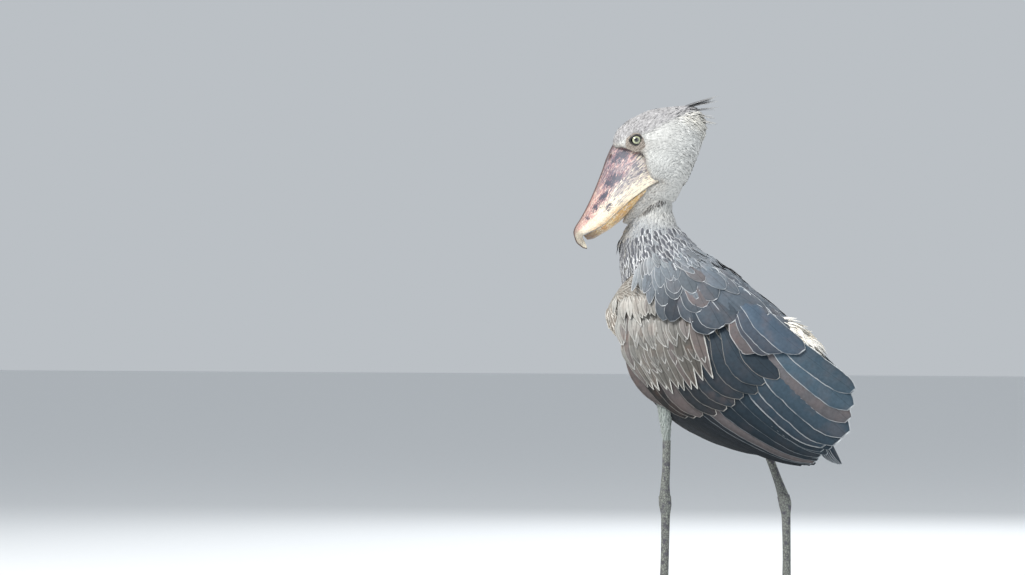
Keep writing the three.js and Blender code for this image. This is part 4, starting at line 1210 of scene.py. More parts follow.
def long_vanes(name, vanes, material):
    """Many long vanes of the same number of rings as one mesh. Each entry gives its rings,
    data and colours."""
    points = np.stack([vane["points"] for vane in vanes])
    count, rows, ring = points.shape[:3]
    cap = np.array([[j, j + 1, ring - 2 - j, ring - 1 - j] for j in range(len(columns) - 1)])
    end = cap[:, ::-1] + (rows - 1) * ring
    faces = np.concatenate([tube_faces(rows, ring), cap[:, ::-1], end[:, ::-1]])
    faces = outward(points.reshape(count, -1, 3), faces)
    attributes = {
        key: np.stack([vane["data"][key] for vane in vanes]).reshape(-1)
        for key in ("side", "tip", "mid", "along")
    }
    size = (count, rows, ring)
    for key in ("fringe", "wear", "streak"):
        values = np.array([vane[key] for vane in vanes])[:, None, None]
        attributes[key] = np.broadcast_to(values, size).reshape(-1)
    for key in ("tint", "rim"):
        values = np.stack([np.broadcast_to(vane[key], (rows, 4)) for vane in vanes])[:, :, None]
        attributes[key] = np.broadcast_to(values, size + (4,)).reshape(-1, 4)
    return add_piece(name, points.reshape(-1, 3), [faces], material, attributes)


# %% [markdown]
# ### The rows
#
# From the lowest layer to the topmost: primaries and secondaries, which carry flight, then
# tertials, five rows of coverts, five of scapulars and the shoulder's small feathers. Slate
# blue when fresh, they wear to brown, and light bleaches the front coverts. Nearly all have a
# thin white fringe. In the photo the right wing doesn't show behind the left one, so its long
# feathers are folded further forward.

# %% Rows of the wing
# How a vane rolls, how deep its root sinks and how its path bows, unless the row says otherwise.
usual_row = {"roll": 0.08, "sink": 5, "bows": [0, 0]}
wing_rows = [
    {"name": "primaries", "shape": "flight", "count": 9, "width": 44, "rows": 26, "roll": 0.07, "sink": 0,
     "roots": [[-92, -112], [-44, -74]], "bows": [46, 20], "lifts": [[0, 0], [7.5, 7.5]],
     "path": lambda s: (306 + 109 * np.sin(s * np.pi / 2), -142 + 52 * s),
     "tones": ["#2B2E31", "#182027"], "rim": "#454C52", "fringe": 0.8, "wear": 0.12, "stray": 1.0},
    {"name": "secondaries", "shape": "flight", "count": 8, "width": 50, "rows": 24, "roll": 0.05, "sink": 0,
     "roots": [[-30, -62], [104, 30]], "bows": [26, 10], "lifts": [[9.8, 9.8], [14, 14]],
     "path": lambda s: (414 + 12 * s, -92 + 46 * s),
     "tones": ["#1C252C", "#24323C"], "rim": "#A9B1B6", "fringe": 1.1, "wear": 0.3, "stray": 1.2},
    {"name": "tertials", "shape": "tertial", "count": 6, "width": 70, "rows": 22, "roll": 0.05,
     "roots": [[108, 20], [150, 70]], "bows": [8, 0], "lifts": [[15.4, 15.4], [20, 20]],
     "path": lambda s: (424 + 54 * s - 84 * s * s, -44 + 110 * s),
     "tones": ["#2B3944", "#465865"], "rim": "#E8ECEE", "fringe": 1.8, "wear": 0.6, "stray": 1.2},
    {"name": "greater coverts", "shape": "broad", "count": 11, "width": 46, "rows": 20, "sink": 4,
     "roots": [[-84, -112], [112, 30]], "bows": [14, 6], "lifts": [[11.5, 11.5], [19.5, 19.5]],
     "path": lambda s: (104 + 150 * s ** 0.62, -178 + 186 * s ** 1.5),
     "tones": ["#24211E", "#303C46"], "rim": "#B9B6B0", "fringe": 1.2, "wear": 0.8, "stray": 1.5},
    {"name": "median coverts", "shape": "lance", "count": 13, "width": 29, "rows": 18,
     "roots": [[-112, -86], [0, 14]], "bows": [10, 4], "lifts": [[12, 16], [17, 23.5]],
     "path": lambda s: (24 + 116 * s ** 0.85, -174 + 98 * s ** 1.6),
     "tones": ["#787671", "#524F4B"], "rim": "#DAD9D3", "fringe": 1.6, "wear": 0.7, "stray": 2.0},
    {"name": "lesser coverts 1", "shape": "lance", "count": 15, "width": 24, "rows": 16, "roll": 0.09,
     "roots": [[-84, -114], [46, -8]], "bows": [5, 3], "lifts": [[12, 17], [15, 23]],
     "path": lambda s: (-16 + 134 * s, -166 + 112 * s),
     "tones": ["#81807C", "#62605D"], "rim": "#D9D8D4", "fringe": 1.5, "wear": 0.4, "stray": 3.4},
    {"name": "lesser coverts 2", "shape": "lance", "count": 16, "width": 21, "rows": 14, "roll": 0.09,
     "roots": [[-116, -94], [0, -4]], "bows": [4, 3], "lifts": [[10.5, 17], [13.5, 23]],
     "path": lambda s: (-64 + 122 * s, -142 + 98 * s),
     "tones": ["#94938F", "#7A7874"], "rim": "#DEDDD9", "fringe": 1.4, "wear": 0.3, "stray": 4.0},
    {"name": "lesser coverts 3", "shape": "lance", "count": 15, "width": 17, "rows": 12, "roll": 0.09,
     "roots": [[-144, -70], [-60, -2]], "bows": [2, 2], "lifts": [[8, 16], [11.5, 21]],
     "path": lambda s: (-106 + 96 * s, -108 + 78 * s),
     "tones": ["#A3A19C", "#98958F"], "rim": "#E4E2DC", "fringe": 1.2, "wear": 0.3, "stray": 4.0},
    {"name": "long scapulars", "shape": "tertial", "count": 4, "width": 66, "rows": 20, "sink": 6,
     "roots": [[76, 52], [60, 76]], "lifts": [[20, 25], [20, 25]],
     "path": lambda s: (184 + 74 * s, 22 + 42 * s),
     "tones": ["#47474D", "#465462"], "rim": "#E9ECEE", "fringe": 1.7, "wear": 0.9, "stray": 1.2},
    {"name": "middle scapulars", "shape": "broad", "count": 5, "width": 64, "rows": 18, "sink": 6,
     "roots": [[-2, 38], [-30, 80]], "lifts": [[17, 26], [13, 20]],
     "path": lambda s: (76 + 64 * s, -8 + 88 * s),
     "tones": ["#363F48", "#5E6872"], "rim": "#EAEDEF", "fringe": 1.6, "wear": 0.5, "stray": 1.6},
    {"name": "scapulars 3", "shape": "broad", "count": 7, "width": 47, "rows": 16,
     "roots": [[-46, 32], [-60, 84]], "lifts": [[15, 25], [12, 19]],
     "path": lambda s: (12 + 52 * s, -32 + 116 * s),
     "tones": ["#40474F", "#6C757E"], "rim": "#E3E6E9", "fringe": 1.5, "wear": 0.5, "stray": 2.8},
    {"name": "scapulars 2", "shape": "broad", "count": 9, "width": 36, "rows": 14,
     "roots": [[-88, 28], [-94, 86]], "lifts": [[13, 24], [10, 17]],
     "path": lambda s: (-36 + 50 * s, -34 + 122 * s),
     "tones": ["#525960", "#7C858D"], "rim": "#E3E6E8", "fringe": 1.4, "wear": 0.4, "stray": 3.6},
    {"name": "scapulars 1", "shape": "round", "count": 13, "width": 26, "rows": 12,
     "roots": [[-120, 20], [-122, 88]], "lifts": [[11, 22], [8, 15]],
     "path": lambda s: (-78 + 42 * s, -34 + 126 * s),
     "tones": ["#6C737A", "#878F96"], "rim": "#E3E5E7", "fringe": 1.3, "wear": 0.3, "stray": 3.8},
    {"name": "shoulder feathers", "shape": "round", "count": 18, "width": 17, "rows": 11, "roll": 0.09,
     "roots": [[-146, 12], [-142, 82]], "lifts": [[9, 19], [7, 13]],
     "path": lambda s: (-110 + 32 * s, -34 + 124 * s),
     "tones": ["#868B8F", "#92989D"], "rim": "#E3E5E7", "fringe": 1.2, "wear": 0.2, "stray": 4.0},
]
# Millimetres by which the tips of a wing's long feathers lie further forward and lower.
tighter_fold = {"left": np.zeros(2), "right": np.array([46.0, 20.0])}
long_rows = ("primaries", "secondaries", "tertials")


def wing_vane(side, row, share, draw):
    """One vane of a row: from its root to its tip on the shell, bowed down by a half sine
    wave, rising out of the arm by a smooth step, and rolled like a roof tile."""
    root = mix(np.array(row["roots"][0], float), np.array(row["roots"][1], float), share)
    stray = np.clip(draw.normal(0, 1, 2), -1.8, 1.8) * np.array([3.2, 1.6]) * row["stray"]
    tip = np.array(row["path"](share)) + stray
    if row["name"] in long_rows:
        tip -= tighter_fold["left" if side > 0 else "right"] * np.array([1.0, share])
    start = np.array([root[0], float(girth_at(*root))])
    way = np.array([tip[0], float(girth_at(*tip))]) - start
    length = float(np.hypot(*way))
    across = np.array([-way[1], way[0]]) / length
    bow = mix(*row["bows"], share) + draw.normal(0, 1.6)
    lifts = mix(np.array(row["lifts"][0]), np.array(row["lifts"][1]), share)
    sunk = lifts[0] - row["sink"]
    twist = draw.normal(0, 0.025)

    def point_at(place, offset, rise):
        swerve = offset - bow * np.sin(np.pi * place)
        along = start[0] + way[0] * place + across[0] * swerve
        girth = start[1] + way[1] * place + across[1] * swerve
        level = lifts[0] + (lifts[1] - lifts[0]) * place
        lift = sunk + (level - sunk) * smooth(place / 0.3)
        return on_wing(side, along, girth, lift - (row["roll"] + twist) * offset + rise)

    width = row["width"] * draw.uniform(0.88, 1.14)
    look = {"rows": row["rows"], "shape": row["shape"]}
    points, data, t = one_vane(point_at, length, width, look, draw)
    base = mix(colour(row["tones"][0]), colour(row["tones"][1]), share) * draw.normal(1, 0.13)
    if draw.uniform() < 0.3 * row["wear"]:
        base = mix(base, colour("#6E6665"), 0.6)
    return {
        "points": points, "data": data, "tint": fading(base, mix(1.2, 0.88, smooth(t))),
        "rim": colour(row["rim"]),
        "fringe": row["fringe"] * draw.uniform(0.7, 1.2), "wear": row["wear"] * draw.uniform(0.2, 1.0),
        "streak": 1.6 if row["shape"] == "lance" else 0.8,
    }


for side_name, side, seed in (("left", 1, 61), ("right", -1, 62)):
    draw = np.random.default_rng(seed)
    for plan in wing_rows:
        row = {**usual_row, **plan}
        shares = np.linspace(0, 1, row["count"])
        vanes = [wing_vane(side, row, share, draw) for share in shares]
        piece_name = row["name"].replace(" ", "_") + "_" + side_name
        long_vanes(piece_name, vanes, vane_keratin)
    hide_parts(f"wing_{side_name}")
    grid = surface_grid(arm_surface(side), -151, 186, 60, 40, -5.0)
    points, faces = closed_tube(grid)
    high = smooth((body_places(points)[2] - 20) / 40)[:, None]
    arm_tint = mix(colour("#A39F98"), colour("#79828A"), high)
    add_piece(f"wing_arm_{side_name}", points, faces, skin_material, {"tint": arm_tint})

# %% Small coverts on the wing's front edge
for side_name, side, seed in (("left", 1, 71), ("right", -1, 72)):
    roots = roots_on(arm_surface(side), -150, 40, 8.5, 7.5, -6.0, seed)
    x = body_places(roots[0])[0]
    keep = (np.abs(x) > 30) & ~inside_neck(roots[0], -12) & ~inside_tube(torso_shape, roots[0], -6)
    root, lie, out, unwrap = kept(roots, keep)
    lie = laid(lie + np.array([0.0, 0.0, -0.35]), out)
    high = smooth((body_places(root)[2] + 70) / 110)[:, None]
    bleach = mix(colour("#BCB3A8"), colour("#6B747D"), high)
    edge_look = {
        "length": 26.0, "width": 10.5, "swing": 0.18, "lift": 2.2, "sink": 2.0, "bend": 0.011, "roll": 0.14,
        "camber": 0.25, "tint": darker(bleach, 0.62), "rim": mix(colour("#E9E5DC"), colour("#A3A9AE"), high),
        "fringe": 1.4, "wear": 0.2, "streak": 1.0,
    }
    name = f"edge_coverts_{side_name}"
    leaves(name, root, lie, out, edge_look, body_keratin, unwrap, seed)
    print("edge coverts:", len(root))


# %% Feathers of the mantle, between the wings
def mantle_surface(along, turn, extra):
    """A flat oval tube over the middle of the back: 46 mm times the cosine of the turn
    sideways, and 12 mm times its sine upwards, about a line just under the wings' shell."""
    top = wing_shell(along)[1]
    return on_body(46.0 * np.cos(turn), along, top - 7 + (12 + extra) * np.sin(turn))


roots = roots_on(mantle_surface, -128, 172, 14.0, 11.0, 0.0, 28)
along, up = body_places(roots[0])[1:]
keep = (up > wing_shell(along)[1] - 5) & ~inside_neck(roots[0], -4)
root, lie, out, unwrap = kept(roots, keep)
front = smooth((40 - along[keep]) / 150)[:, None]
mantle_look = {
    "shape": "round", "length": 46.0, "width": 23.0, "swing": 0.12, "lift": 3.4, "sink": 3.0,
    "bend": 0.003, "roll": 0.1, "thickness": 0.7, "camber": 0.22,
    "tint": mix(colour("#555F69"), colour("#7A838B"), front), "vary": 0.12,
    "rim": colour("#E0E4E7"), "fringe": 1.4, "wear": 0.4, "streak": 0.8,
}
leaves("mantle_coat", root, lie, out, mantle_look, body_keratin, unwrap, 44)
print("mantle feathers:", len(root))

# %% [markdown]
# ## Tail and crest
#
# Twelve tail feathers overlap from the middle pair down. The crest is a short tuft of narrow
# feathers that stands off the back of the crown. Both use the same closed sheets as the wing,
# with another function for their place.

# %% Tail
tail_root_along, tail_root_up = 262.0, 18.0
tail_drop = np.radians(-25.0)


def on_tail(x, out, up):
    """A point of the tail: so far out from its root along its own drop."""
    along = tail_root_along + out * np.cos(tail_drop) - up * np.sin(tail_drop)
    height = tail_root_up + out * np.sin(tail_drop) + up * np.cos(tail_drop)
    return on_body(x, along, height)


tail_pairs, tail_start, tail_length = 6, 8.0, 204.0
draw = np.random.default_rng(81)
tail_vanes = []
for side in (1, -1):
    for pair in range(tail_pairs):
        share = (pair + 0.35) / (tail_pairs - 0.65)
        level = 5.5 - 1.9 * pair - (0 if side > 0 else 0.95)
        reach = tail_length - 16 * share * share

        def point_at(place, offset, rise, side=side, share=share, level=level, reach=reach):
            out = tail_start + reach * place
            x = side * share * mix(9.0, 18.0, place) + offset
            roof = -4 * (x / 18) ** 2 * (out / 186)
            return on_tail(x, out, level + roof + rise)

        look = {"rows": 16, "shape": "flight", "ridge": 0.6}
        points, data, t = one_vane(point_at, reach, 34.0, look, draw)
        base = colour("#33404B") * draw.normal(1, 0.08)
        tail_vanes.append({
            "points": points, "data": data, "tint": fading(base, mix(1.3, 0.9, t)), "rim": colour("#DDE1E3"),
            "fringe": 1.0, "wear": 0.3, "streak": 0.9,
        })
tail = long_vanes("tail_vanes", tail_vanes, vane_keratin)
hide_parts("tail")

# %% Crest
crest_rows = [
    {"count": 10, "root": [336, 12], "tip": [419, -43], "spread": [12, 6], "width": 20, "tone": "#66666A"},
    {"count": 8, "root": [344, 3], "tip": [413, -49], "spread": [12, 7], "width": 13, "tone": "#8A8A8C"},
    {"count": 5, "root": [349, -10], "tip": [404, -60], "spread": [8, 3], "width": 8, "tone": "#606065"},
    {"count": 8, "root": [350, -22], "tip": [385, -68], "spread": [17, 17], "width": 9, "tone": "#BDBBB6"},
    {"count": 8, "root": [348, -34], "tip": [376, -80], "spread": [20, 22], "width": 9, "tone": "#CAC7C0"},
]
draw = np.random.default_rng(82)
crest_vanes = []
for row in crest_rows:
    for share in np.linspace(-1, 1, row["count"]):
        root = np.array(row["root"], float)
        way = np.array(row["tip"], float) - root
        way = way * draw.uniform(0.82, 1.08) + draw.normal(0, 1.8, 2)
        length = float(np.hypot(*way))
        over = np.array([-way[1], way[0]]) / length

        def point_at(place, offset, rise, root=root, way=way, over=over, share=share, row=row):
            curve = 3.0 * np.sin(np.pi * place) + rise
            middle = share * mix(*row["spread"], place)
            return on_head(root[0] + way[0] * place + over[0] * curve,
                           root[1] + way[1] * place + over[1] * curve, middle + offset)

        look = {"rows": 10, "shape": "plume", "nicks": 0.08, "ridge": 0.4, "camber": 0.15}
        points, data, t = one_vane(point_at, length, row["width"] * draw.uniform(0.8, 1.2), look, draw)
        base = colour(row["tone"]) * draw.normal(1, 0.1)
        crest_vanes.append({
            "points": points, "data": data, "tint": fading(base, mix(1.25, 0.8, t)), "rim": colour("#D8D8D6"),
            "fringe": 0.9, "wear": 0.2, "streak": 0.7,
        })
crest = long_vanes("crest_vanes", crest_vanes, body_keratin)
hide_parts("crest")

# %% [markdown]
# ## Horn of the bill
#
# The bill is a thin sheath of horn over bone, cream and pink, with slate blotches in clusters
# and fine streaks along it. Blotches come from noise in the bill's own directions, let
# through only where a few bell-shaped spots allow it, so the clusters lie as on the bird.
# The noise is measured along the bill and from mouth to ridge, so its streaks follow the horn.

# %% Bill material
def horn_material(name, light, warm, low, roughness):
    """Horn: cream mixed with pink by cloudy noise, warmer towards the mouth, then brown
    specks, streaks and dark blotches of noise stretched along the bill."""
    material, tree, shader = new_material(name, roughness, coat=0.15, specular=0.35)
    shader.inputs["Coat Roughness"].default_value = 0.35
    shader.inputs["Subsurface Weight"].default_value = 0.05
    shader.inputs["Subsurface Radius"].default_value = (0.004, 0.002, 0.0015)
    read = {
        key: node(tree, "ShaderNodeAttribute", {}, attribute_name=key).outputs
        for key in ("bill_place", "blotch", "pink", "low", "dark", "streaky", "nail")
    }

    def streaks(stretch, scale, detail, roughness):
        """Noise whose lumps are 1 / scale mm wide and longer by 1 / stretch along the bill."""
        stretched = {"Vector": read["bill_place"]["Vector"], "Scale": (stretch, 1.0, 1.0)}
        moved = node(tree, "ShaderNodeMapping", stretched).outputs["Vector"]
        settings = {"Vector": moved, "Scale": scale, "Detail": detail, "Roughness": roughness}
        return node(tree, "ShaderNodeTexNoise", settings).outputs["Fac"]

    def above(value, start, end, most=1.0):
        """0 where the value is under `start`, rising to `most` at `end`."""
        return ranged(tree, value, start, end, 0.0, most, "SMOOTHSTEP")

    def plus(key, factor, other):
        """The other value plus the factor times the share written on the mesh."""
        return maths(tree, "MULTIPLY_ADD", read[key]["Fac"], factor, other)

    cloud = streaks(0.6, 0.055, 4.0, 0.6)
    blot = streaks(0.5, 0.21, 6.0, 0.74)
    fine = streaks(0.45, 0.46, 6.0, 0.74)
    lines = streaks(0.12, 0.36, 4.0, 0.6)
    broken = streaks(0.2, 0.34, 5.0, 0.72)
    rosy = maths(tree, "MULTIPLY", cloud, read["pink"]["Fac"])
    base = tuple(colour(light))
    for share, code in (
        (above(rosy, 0.24, 0.52), warm),
        (read["low"]["Fac"], low),
        (above(streaks(0.5, 0.22, 5.0, 0.7), 0.48, 0.58, 0.6), "#F3EBD8"),
        (above(plus("pink", 0.08, fine), 0.58, 0.66, 0.6), "#A9766F"),
        (above(plus("streaky", 0.16, lines), 0.57, 0.65, 0.65), "#8C828C"),
        (above(plus("streaky", 0.16, broken), 0.64, 0.7, 0.85), "#62626F"),
        (above(plus("blotch", 0.22, fine), 0.62, 0.69, 0.8), "#7D5F69"),
        (above(plus("blotch", 0.29, blot), 0.7, 0.75, 0.95), "#484B59"),
        (read["nail"]["Fac"], "#8E8478"),
        # The dark share holds dark lines of the horn, and also painted shade in the nostril slits and painted
        # shadow along the face's edge.
        (read["dark"]["Fac"], "#4B3A36"),
    ):
        base = blend(tree, share, base, code)
    dress(tree, shader, base, (streaks(0.12, 0.6, 5.0, 0.5), 0.6, 0.0014))
    return material


# The noise counts the bill as 85 mm deep all along, so its streaks close up towards the tip.
bill_depth = 85.0


def bill_data(points):
    """Where blotches, streaks and pink may grow, how yellow towards the mouth and how dark, with
    a painted shadow along the face's edge: sums of bell-shaped spots of the side view."""
    along, up, x = head_places(points)
    ridge = smooth((up - culmen_up(along)[0] + 13) / 11)
    blotch = (
        1.05 * spot(along, up, 136, 21, 19, 13) + 0.9 * spot(along, up, 154, 12, 14, 8)
        + 0.95 * spot(along, up, 102, 11, 14, 8) + 0.85 * spot(along, up, 90, -10, 14, 10)
        + 0.75 * spot(along, up, 43, 9, 9, 7) + 0.6 * spot(along, up, 72, 9, 12, 8)
        + 0.75 * spot(along, up, 196, 34, 22, 18) + 0.6 * spot(along, up, 172, 42, 34, 10)
        + 0.95 * spot(along, up, 199, 66, 13, 9) + 0.45 * spot(along, up, 75, 14, 36, 10)
        + 0.35 * spot(along, up, 165, 2, 28, 12)
    )
    streaky = smooth((along - 60) / 80) * smooth((up + 42) / 40) + 0.6 * spot(along, up, 203, -30, 22, 26)
    above = up - mouth_up(along)[0]
    share = above / (culmen_up(along)[0] - mouth_up(along)[0])
    pink = 0.3 + 1.1 * smooth((share - 0.35) / 0.4)
    low = 0.75 * smooth((13 - above) / 12) * smooth((150 - along) / 50) * smooth((along - 14) / 25)
    mouth_edge = smooth((1.8 + 1.6 * smooth((along - 165) / 30) - above) / 1.4) * smooth((along - 4) / 6)
    mouth_edge = mouth_edge * (0.25 + 0.65 * smooth((62 - along) / 30) + 0.6 * smooth((along - 150) / 30))
    nail = 0.6 * smooth((16 - along) / 12) * smooth((up + 26) / 12)
    # The horn just in front of the face's feathers is darkened: a painted shadow of the feathers' edge.
    face_edge_shadow = smooth((9 - before_face(along, up)) / 7) * smooth((share - 0.1) / 0.2)
    dark = 0.35 * ridge + mouth_edge + 0.5 * face_edge_shadow
    return {
        "bill_place": opaque(stack(along, bill_depth * share, x)),
        "blotch": np.clip(blotch, 0, 1.2), "pink": pink, "low": np.clip(low, 0, 1),
        "dark": np.clip(dark, 0, 0.85), "streaky": np.clip(streaky, 0, 1), "nail": nail,
    }


# Satin horn with a thin shine: creamy and rosy above, yellow and browner below.
bill_horn = horn_material("bill horn, cream and pink, satin", "#E9DFC8", "#D3A9A0", "#DDB274", 0.45)
lower_horn = horn_material("lower bill horn, yellow, satin", "#E3C68C", "#CFA069", "#DAAE62", 0.45)


# %% Both halves of the bill
# The last row of each section's table, and where a nostril slit lies and its slope in radians.
upper_turn, lower_turn = 10, 7
slit_place, slit_slope = (178, 55), 0.32


def upper_bill(index, turn):
    """The vault of the bill: each ring runs from ridge to mouth by the section's height, and
    sideways by its share of the half width. The turn goes round both sides. Also returns
    where the horn is painted dark: painted shade in the nostril slits, and a line along the ridge."""
    ridge_along, ridge_up, rim_along, rim_up, half_width = upper_bill_rings(index)
    around = np.where(turn <= upper_turn, turn, 2 * upper_turn - turn)
    share, height = upper_bill_section(around)
    side = np.where(turn <= upper_turn, 1.0, -1.0)
    along = rim_along + (ridge_along - rim_along) * height
    up = rim_up + (ridge_up - rim_up) * height
    x = side * share * half_width
    wobble = 0.35 * np.sin(along / 7.0 + up / 11.0) * smooth(share * 3)
    cos, sin = np.cos(slit_slope), np.sin(slit_slope)
    slit_along = (along - slit_place[0]) * cos + (up - slit_place[1]) * sin
    slit_up = (up - slit_place[1]) * cos - (along - slit_place[0]) * sin
    slit = np.exp(-((slit_along / 8.5) ** 2 + (slit_up / 2.2) ** 2) ** 2) * (np.abs(x) > 6)
    below_ridge = np.hypot(ridge_along - along, ridge_up - up)
    # The nostril slits are painted dark as the shade inside them, and the ridge gets a thin dark line.
    slit_shade_and_ridge_line = np.maximum(slit, 0.9 * smooth((4.2 - below_ridge) / 2.6))
    return on_head(along, up - 1.6 * slit, x + side * (wobble - 3.2 * slit)), slit_shade_and_ridge_line


rows = np.concatenate([np.linspace(0, 9, 118), np.linspace(9, 13, 34)[1:]])
grid, slit_shade_and_ridge_line = upper_bill(*ringed(rows, 96, 2 * upper_turn))
points, faces = closed_tube(grid)
data = bill_data(points)
data["dark"] = np.maximum(data["dark"], np.append(slit_shade_and_ridge_line.ravel(), [0, 0]))
upper = add_piece("upper_bill_horn", points, faces, bill_horn, data)
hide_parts("upper_bill")


def lower_bill(index, turn):
    """The trough of the lower bill: rings from keel to rim in the same way."""
    rim_along, rim_up, keel_along, keel_up, half_width = lower_bill_rings(index)
    around = np.where(turn <= lower_turn, turn, 2 * lower_turn - turn)
    share, height = lower_bill_section(around)
    side = np.where(turn <= lower_turn, 1.0, -1.0)
    along = keel_along + (rim_along - keel_along) * height
    up = keel_up + (rim_up - 0.8 - keel_up) * height
    return on_head(along, up, side * share * half_width)


grid = lower_bill(*ringed(np.linspace(0, 9, 110), 72, 2 * lower_turn))
points, faces = closed_tube(grid)
along, up, x = head_places(points)
data = {
    "bill_place": opaque(stack(along, up, x)),
    "blotch": 0.35 * smooth((80 - along) / 60), "pink": np.full(len(points), 0.7),
    "low": 0.6 * smooth((along - 60) / 60), "dark": 0.8 * smooth((62 - along) / 50),
    "streaky": np.zeros(len(points)), "nail": np.zeros(len(points)),
}
lower = add_piece("lower_bill_trough", points, faces, lower_horn, data)
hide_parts("lower_bill")

# %% [markdown]
# ## Eyes
#
# The eye is a wet ball with a pale, greenish iris round a small pupil, framed by a black rim of
# bare lid. Rings round the eye's own axis let the colour be a function of the distance from
# that axis. A clear coat makes the wet shine.

# %% Eyes and lids
eye_radius = 12.6
# The colours of the eye run from its axis to this many millimetres off it.
iris_scale = 12.0
# A wet ball: the clear coat mirrors the lamps over a pale iris and a small dark pupil.
eye_material, tree, shader = new_material("wet eye under a clear cornea", 0.12, coat=1.0)
shader.inputs["Coat Roughness"].default_value = 0.03
ring = node(tree, "ShaderNodeAttribute", {}, attribute_name="off_axis").outputs["Fac"]
uneven = maths(tree, "MULTIPLY_ADD", noise(tree, object_place(tree), 900.0, 3.0), 1.2, ring)
ramp = node(tree, "ShaderNodeValToRGB", {"Fac": maths(tree, "DIVIDE", uneven, iris_scale)})
for stop, code in (
    (0.0, "#0A0B0D"), (0.34, "#101216"), (0.38, "#54584F"), (0.48, "#787C69"), (0.55, "#B9BD9C"),
    (0.7, "#C3C6A2"), (0.76, "#777A66"), (0.8, "#1B1B1D"), (1.0, "#0D0D0E"),
):
    elements = ramp.color_ramp.elements
    point = elements.new(stop) if 0 < stop < 1 else elements[0 if stop == 0 else -1]
    point.color = tuple(colour(code))
tree.links.new(ramp.outputs["Color"], shader.inputs["Base Color"])

# A black, slightly shining rim that frames the eye.
lid_material = noisy_material(
    "bare lid skin, black and moist", 0.38, 700.0, 3.0, ("#151416", "#3A3736"), (0.5, 0.0006)
)


def eye_ball(side, polar, turn):
    """A ball whose pole faces sideways out of the head: radius times the sine of the polar
    angle round the axis, and times its cosine along it, with a slight bulge at the front."""
    reach = eye_radius * (1 + 0.03 * np.exp(-(polar / 0.5) ** 2))
    around = reach * np.sin(polar)
    return on_head(eye_along + around * np.cos(turn), eye_up + around * np.sin(turn),
                   side * (eye_x + reach * np.cos(polar)))


front_corner, upper_lid, under_eye = np.radians([136.0, 39.0, 200.0])


def lid_rim(side, around, turn):
    """A ring of lid: a circle round the eye, drawn out to a point at the front and a little at
    the back, that carries a round section. The upper lid is thicker and hangs over the ball."""
    front = np.maximum(np.cos(around - front_corner), 0) ** 8
    rear = np.maximum(-np.cos(around - front_corner), 0) ** 8
    over = np.maximum(np.cos(around - upper_lid), 0)
    thick = 2.1 + 0.6 * over + 0.4 * front
    radius = 10.9 + 3.2 * front + 1.4 * rear - 0.9 * over + thick * np.cos(turn)
    depth = 50.8 + 0.9 * over - 1.6 * front + thick * np.sin(turn)
    return on_head(eye_along + radius * np.cos(around), eye_up + radius * np.sin(around), side * depth)


def head_side(along, up):
    """How far sideways the head's own surface lies at a place of its side view."""
    top, bottom = head_shape(along)[:2]
    level = np.clip((2 * up - top - bottom) / (top - bottom), -0.999, 0.999)
    return head_places(head_surface(along, np.arcsin(level), 0.0))[2]


def eye_surround(side, around, turn):
    """Bare skin round the lids: a flat closed ring on the side of the head, wider in front and
    below. Ripples of about 2 mm that follow the lids make its folds."""
    below = (0.5 + 0.5 * np.cos(around - under_eye)) ** 1.3
    wide = 4.5 + 12.0 * below + 1.2 * np.sin(3 * around) + 0.8 * np.sin(7 * around)
    outer = (1 - np.cos(turn)) / 2
    radius = 10.4 + wide * outer
    along, up = eye_along + radius * np.cos(around), eye_up + radius * np.sin(around)
    fold = 0.55 * np.sin(radius * 2.6 + 1.2 * np.sin(3 * around)) * np.sin(np.pi * outer)
    top = mix(-0.4, -2.8, outer ** 2) + fold
    height = np.where(np.sin(turn) >= 0, top, top - 2.4 * np.abs(np.sin(turn)))
    return on_head(along, up, side * (head_side(along, up) + height))


# Dry, wrinkled skin in grey-brown patches, a soft step between the black lid and the feathers.
surround_skin = noisy_material(
    "bare skin round the eye, dry and folded", 0.7, 420.0, 5.0, ("#6A625B", "#B1A79D"), (0.7, 0.001),
    contrast=(0.35, 0.65), specular=0.3
)


def closed_ring(name, ring_points, side, material):
    """A ring whose section closes too, as one mesh."""
    turns, ring = ring_points.shape[:2]
    quads = tube_faces(turns + 1, ring) % (turns * ring)
    faces = quads[:, ::-1] if side > 0 else quads
    return add_piece(name, ring_points.reshape(-1, 3), [faces], material)


for side_name, side in (("left", 1), ("right", -1)):
    points, faces = closed_tube(eye_ball(side, *ringed(np.linspace(0.02, np.pi - 0.02, 40), 48)))
    along, up = head_places(points)[:2]
    data = {"off_axis": np.hypot(along - eye_along, up - eye_up)}
    eye = add_piece(f"eye_{side_name}_ball", points, faces, eye_material, data)
    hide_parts(f"eye_{side_name}")
    rim = lid_rim(side, *ringed(even_turns(72), 12))
    closed_ring(f"lid_{side_name}", rim, side, lid_material)
    bare_skin = eye_surround(side, *ringed(even_turns(96), 48))
    closed_ring(f"eye_surround_{side_name}", bare_skin, side, surround_skin)

# %% [markdown]
# ## Legs, feet and claws
#
# The bare shank is covered with small dry scales, grey with dark specks. Scales are drawn as
# cells of about 4 mm with dark seams, raised a little by bump. The toes are tubes that swell
# at each joint. Ball and toes of a foot are melted together by a voxel remesh, like the skin.

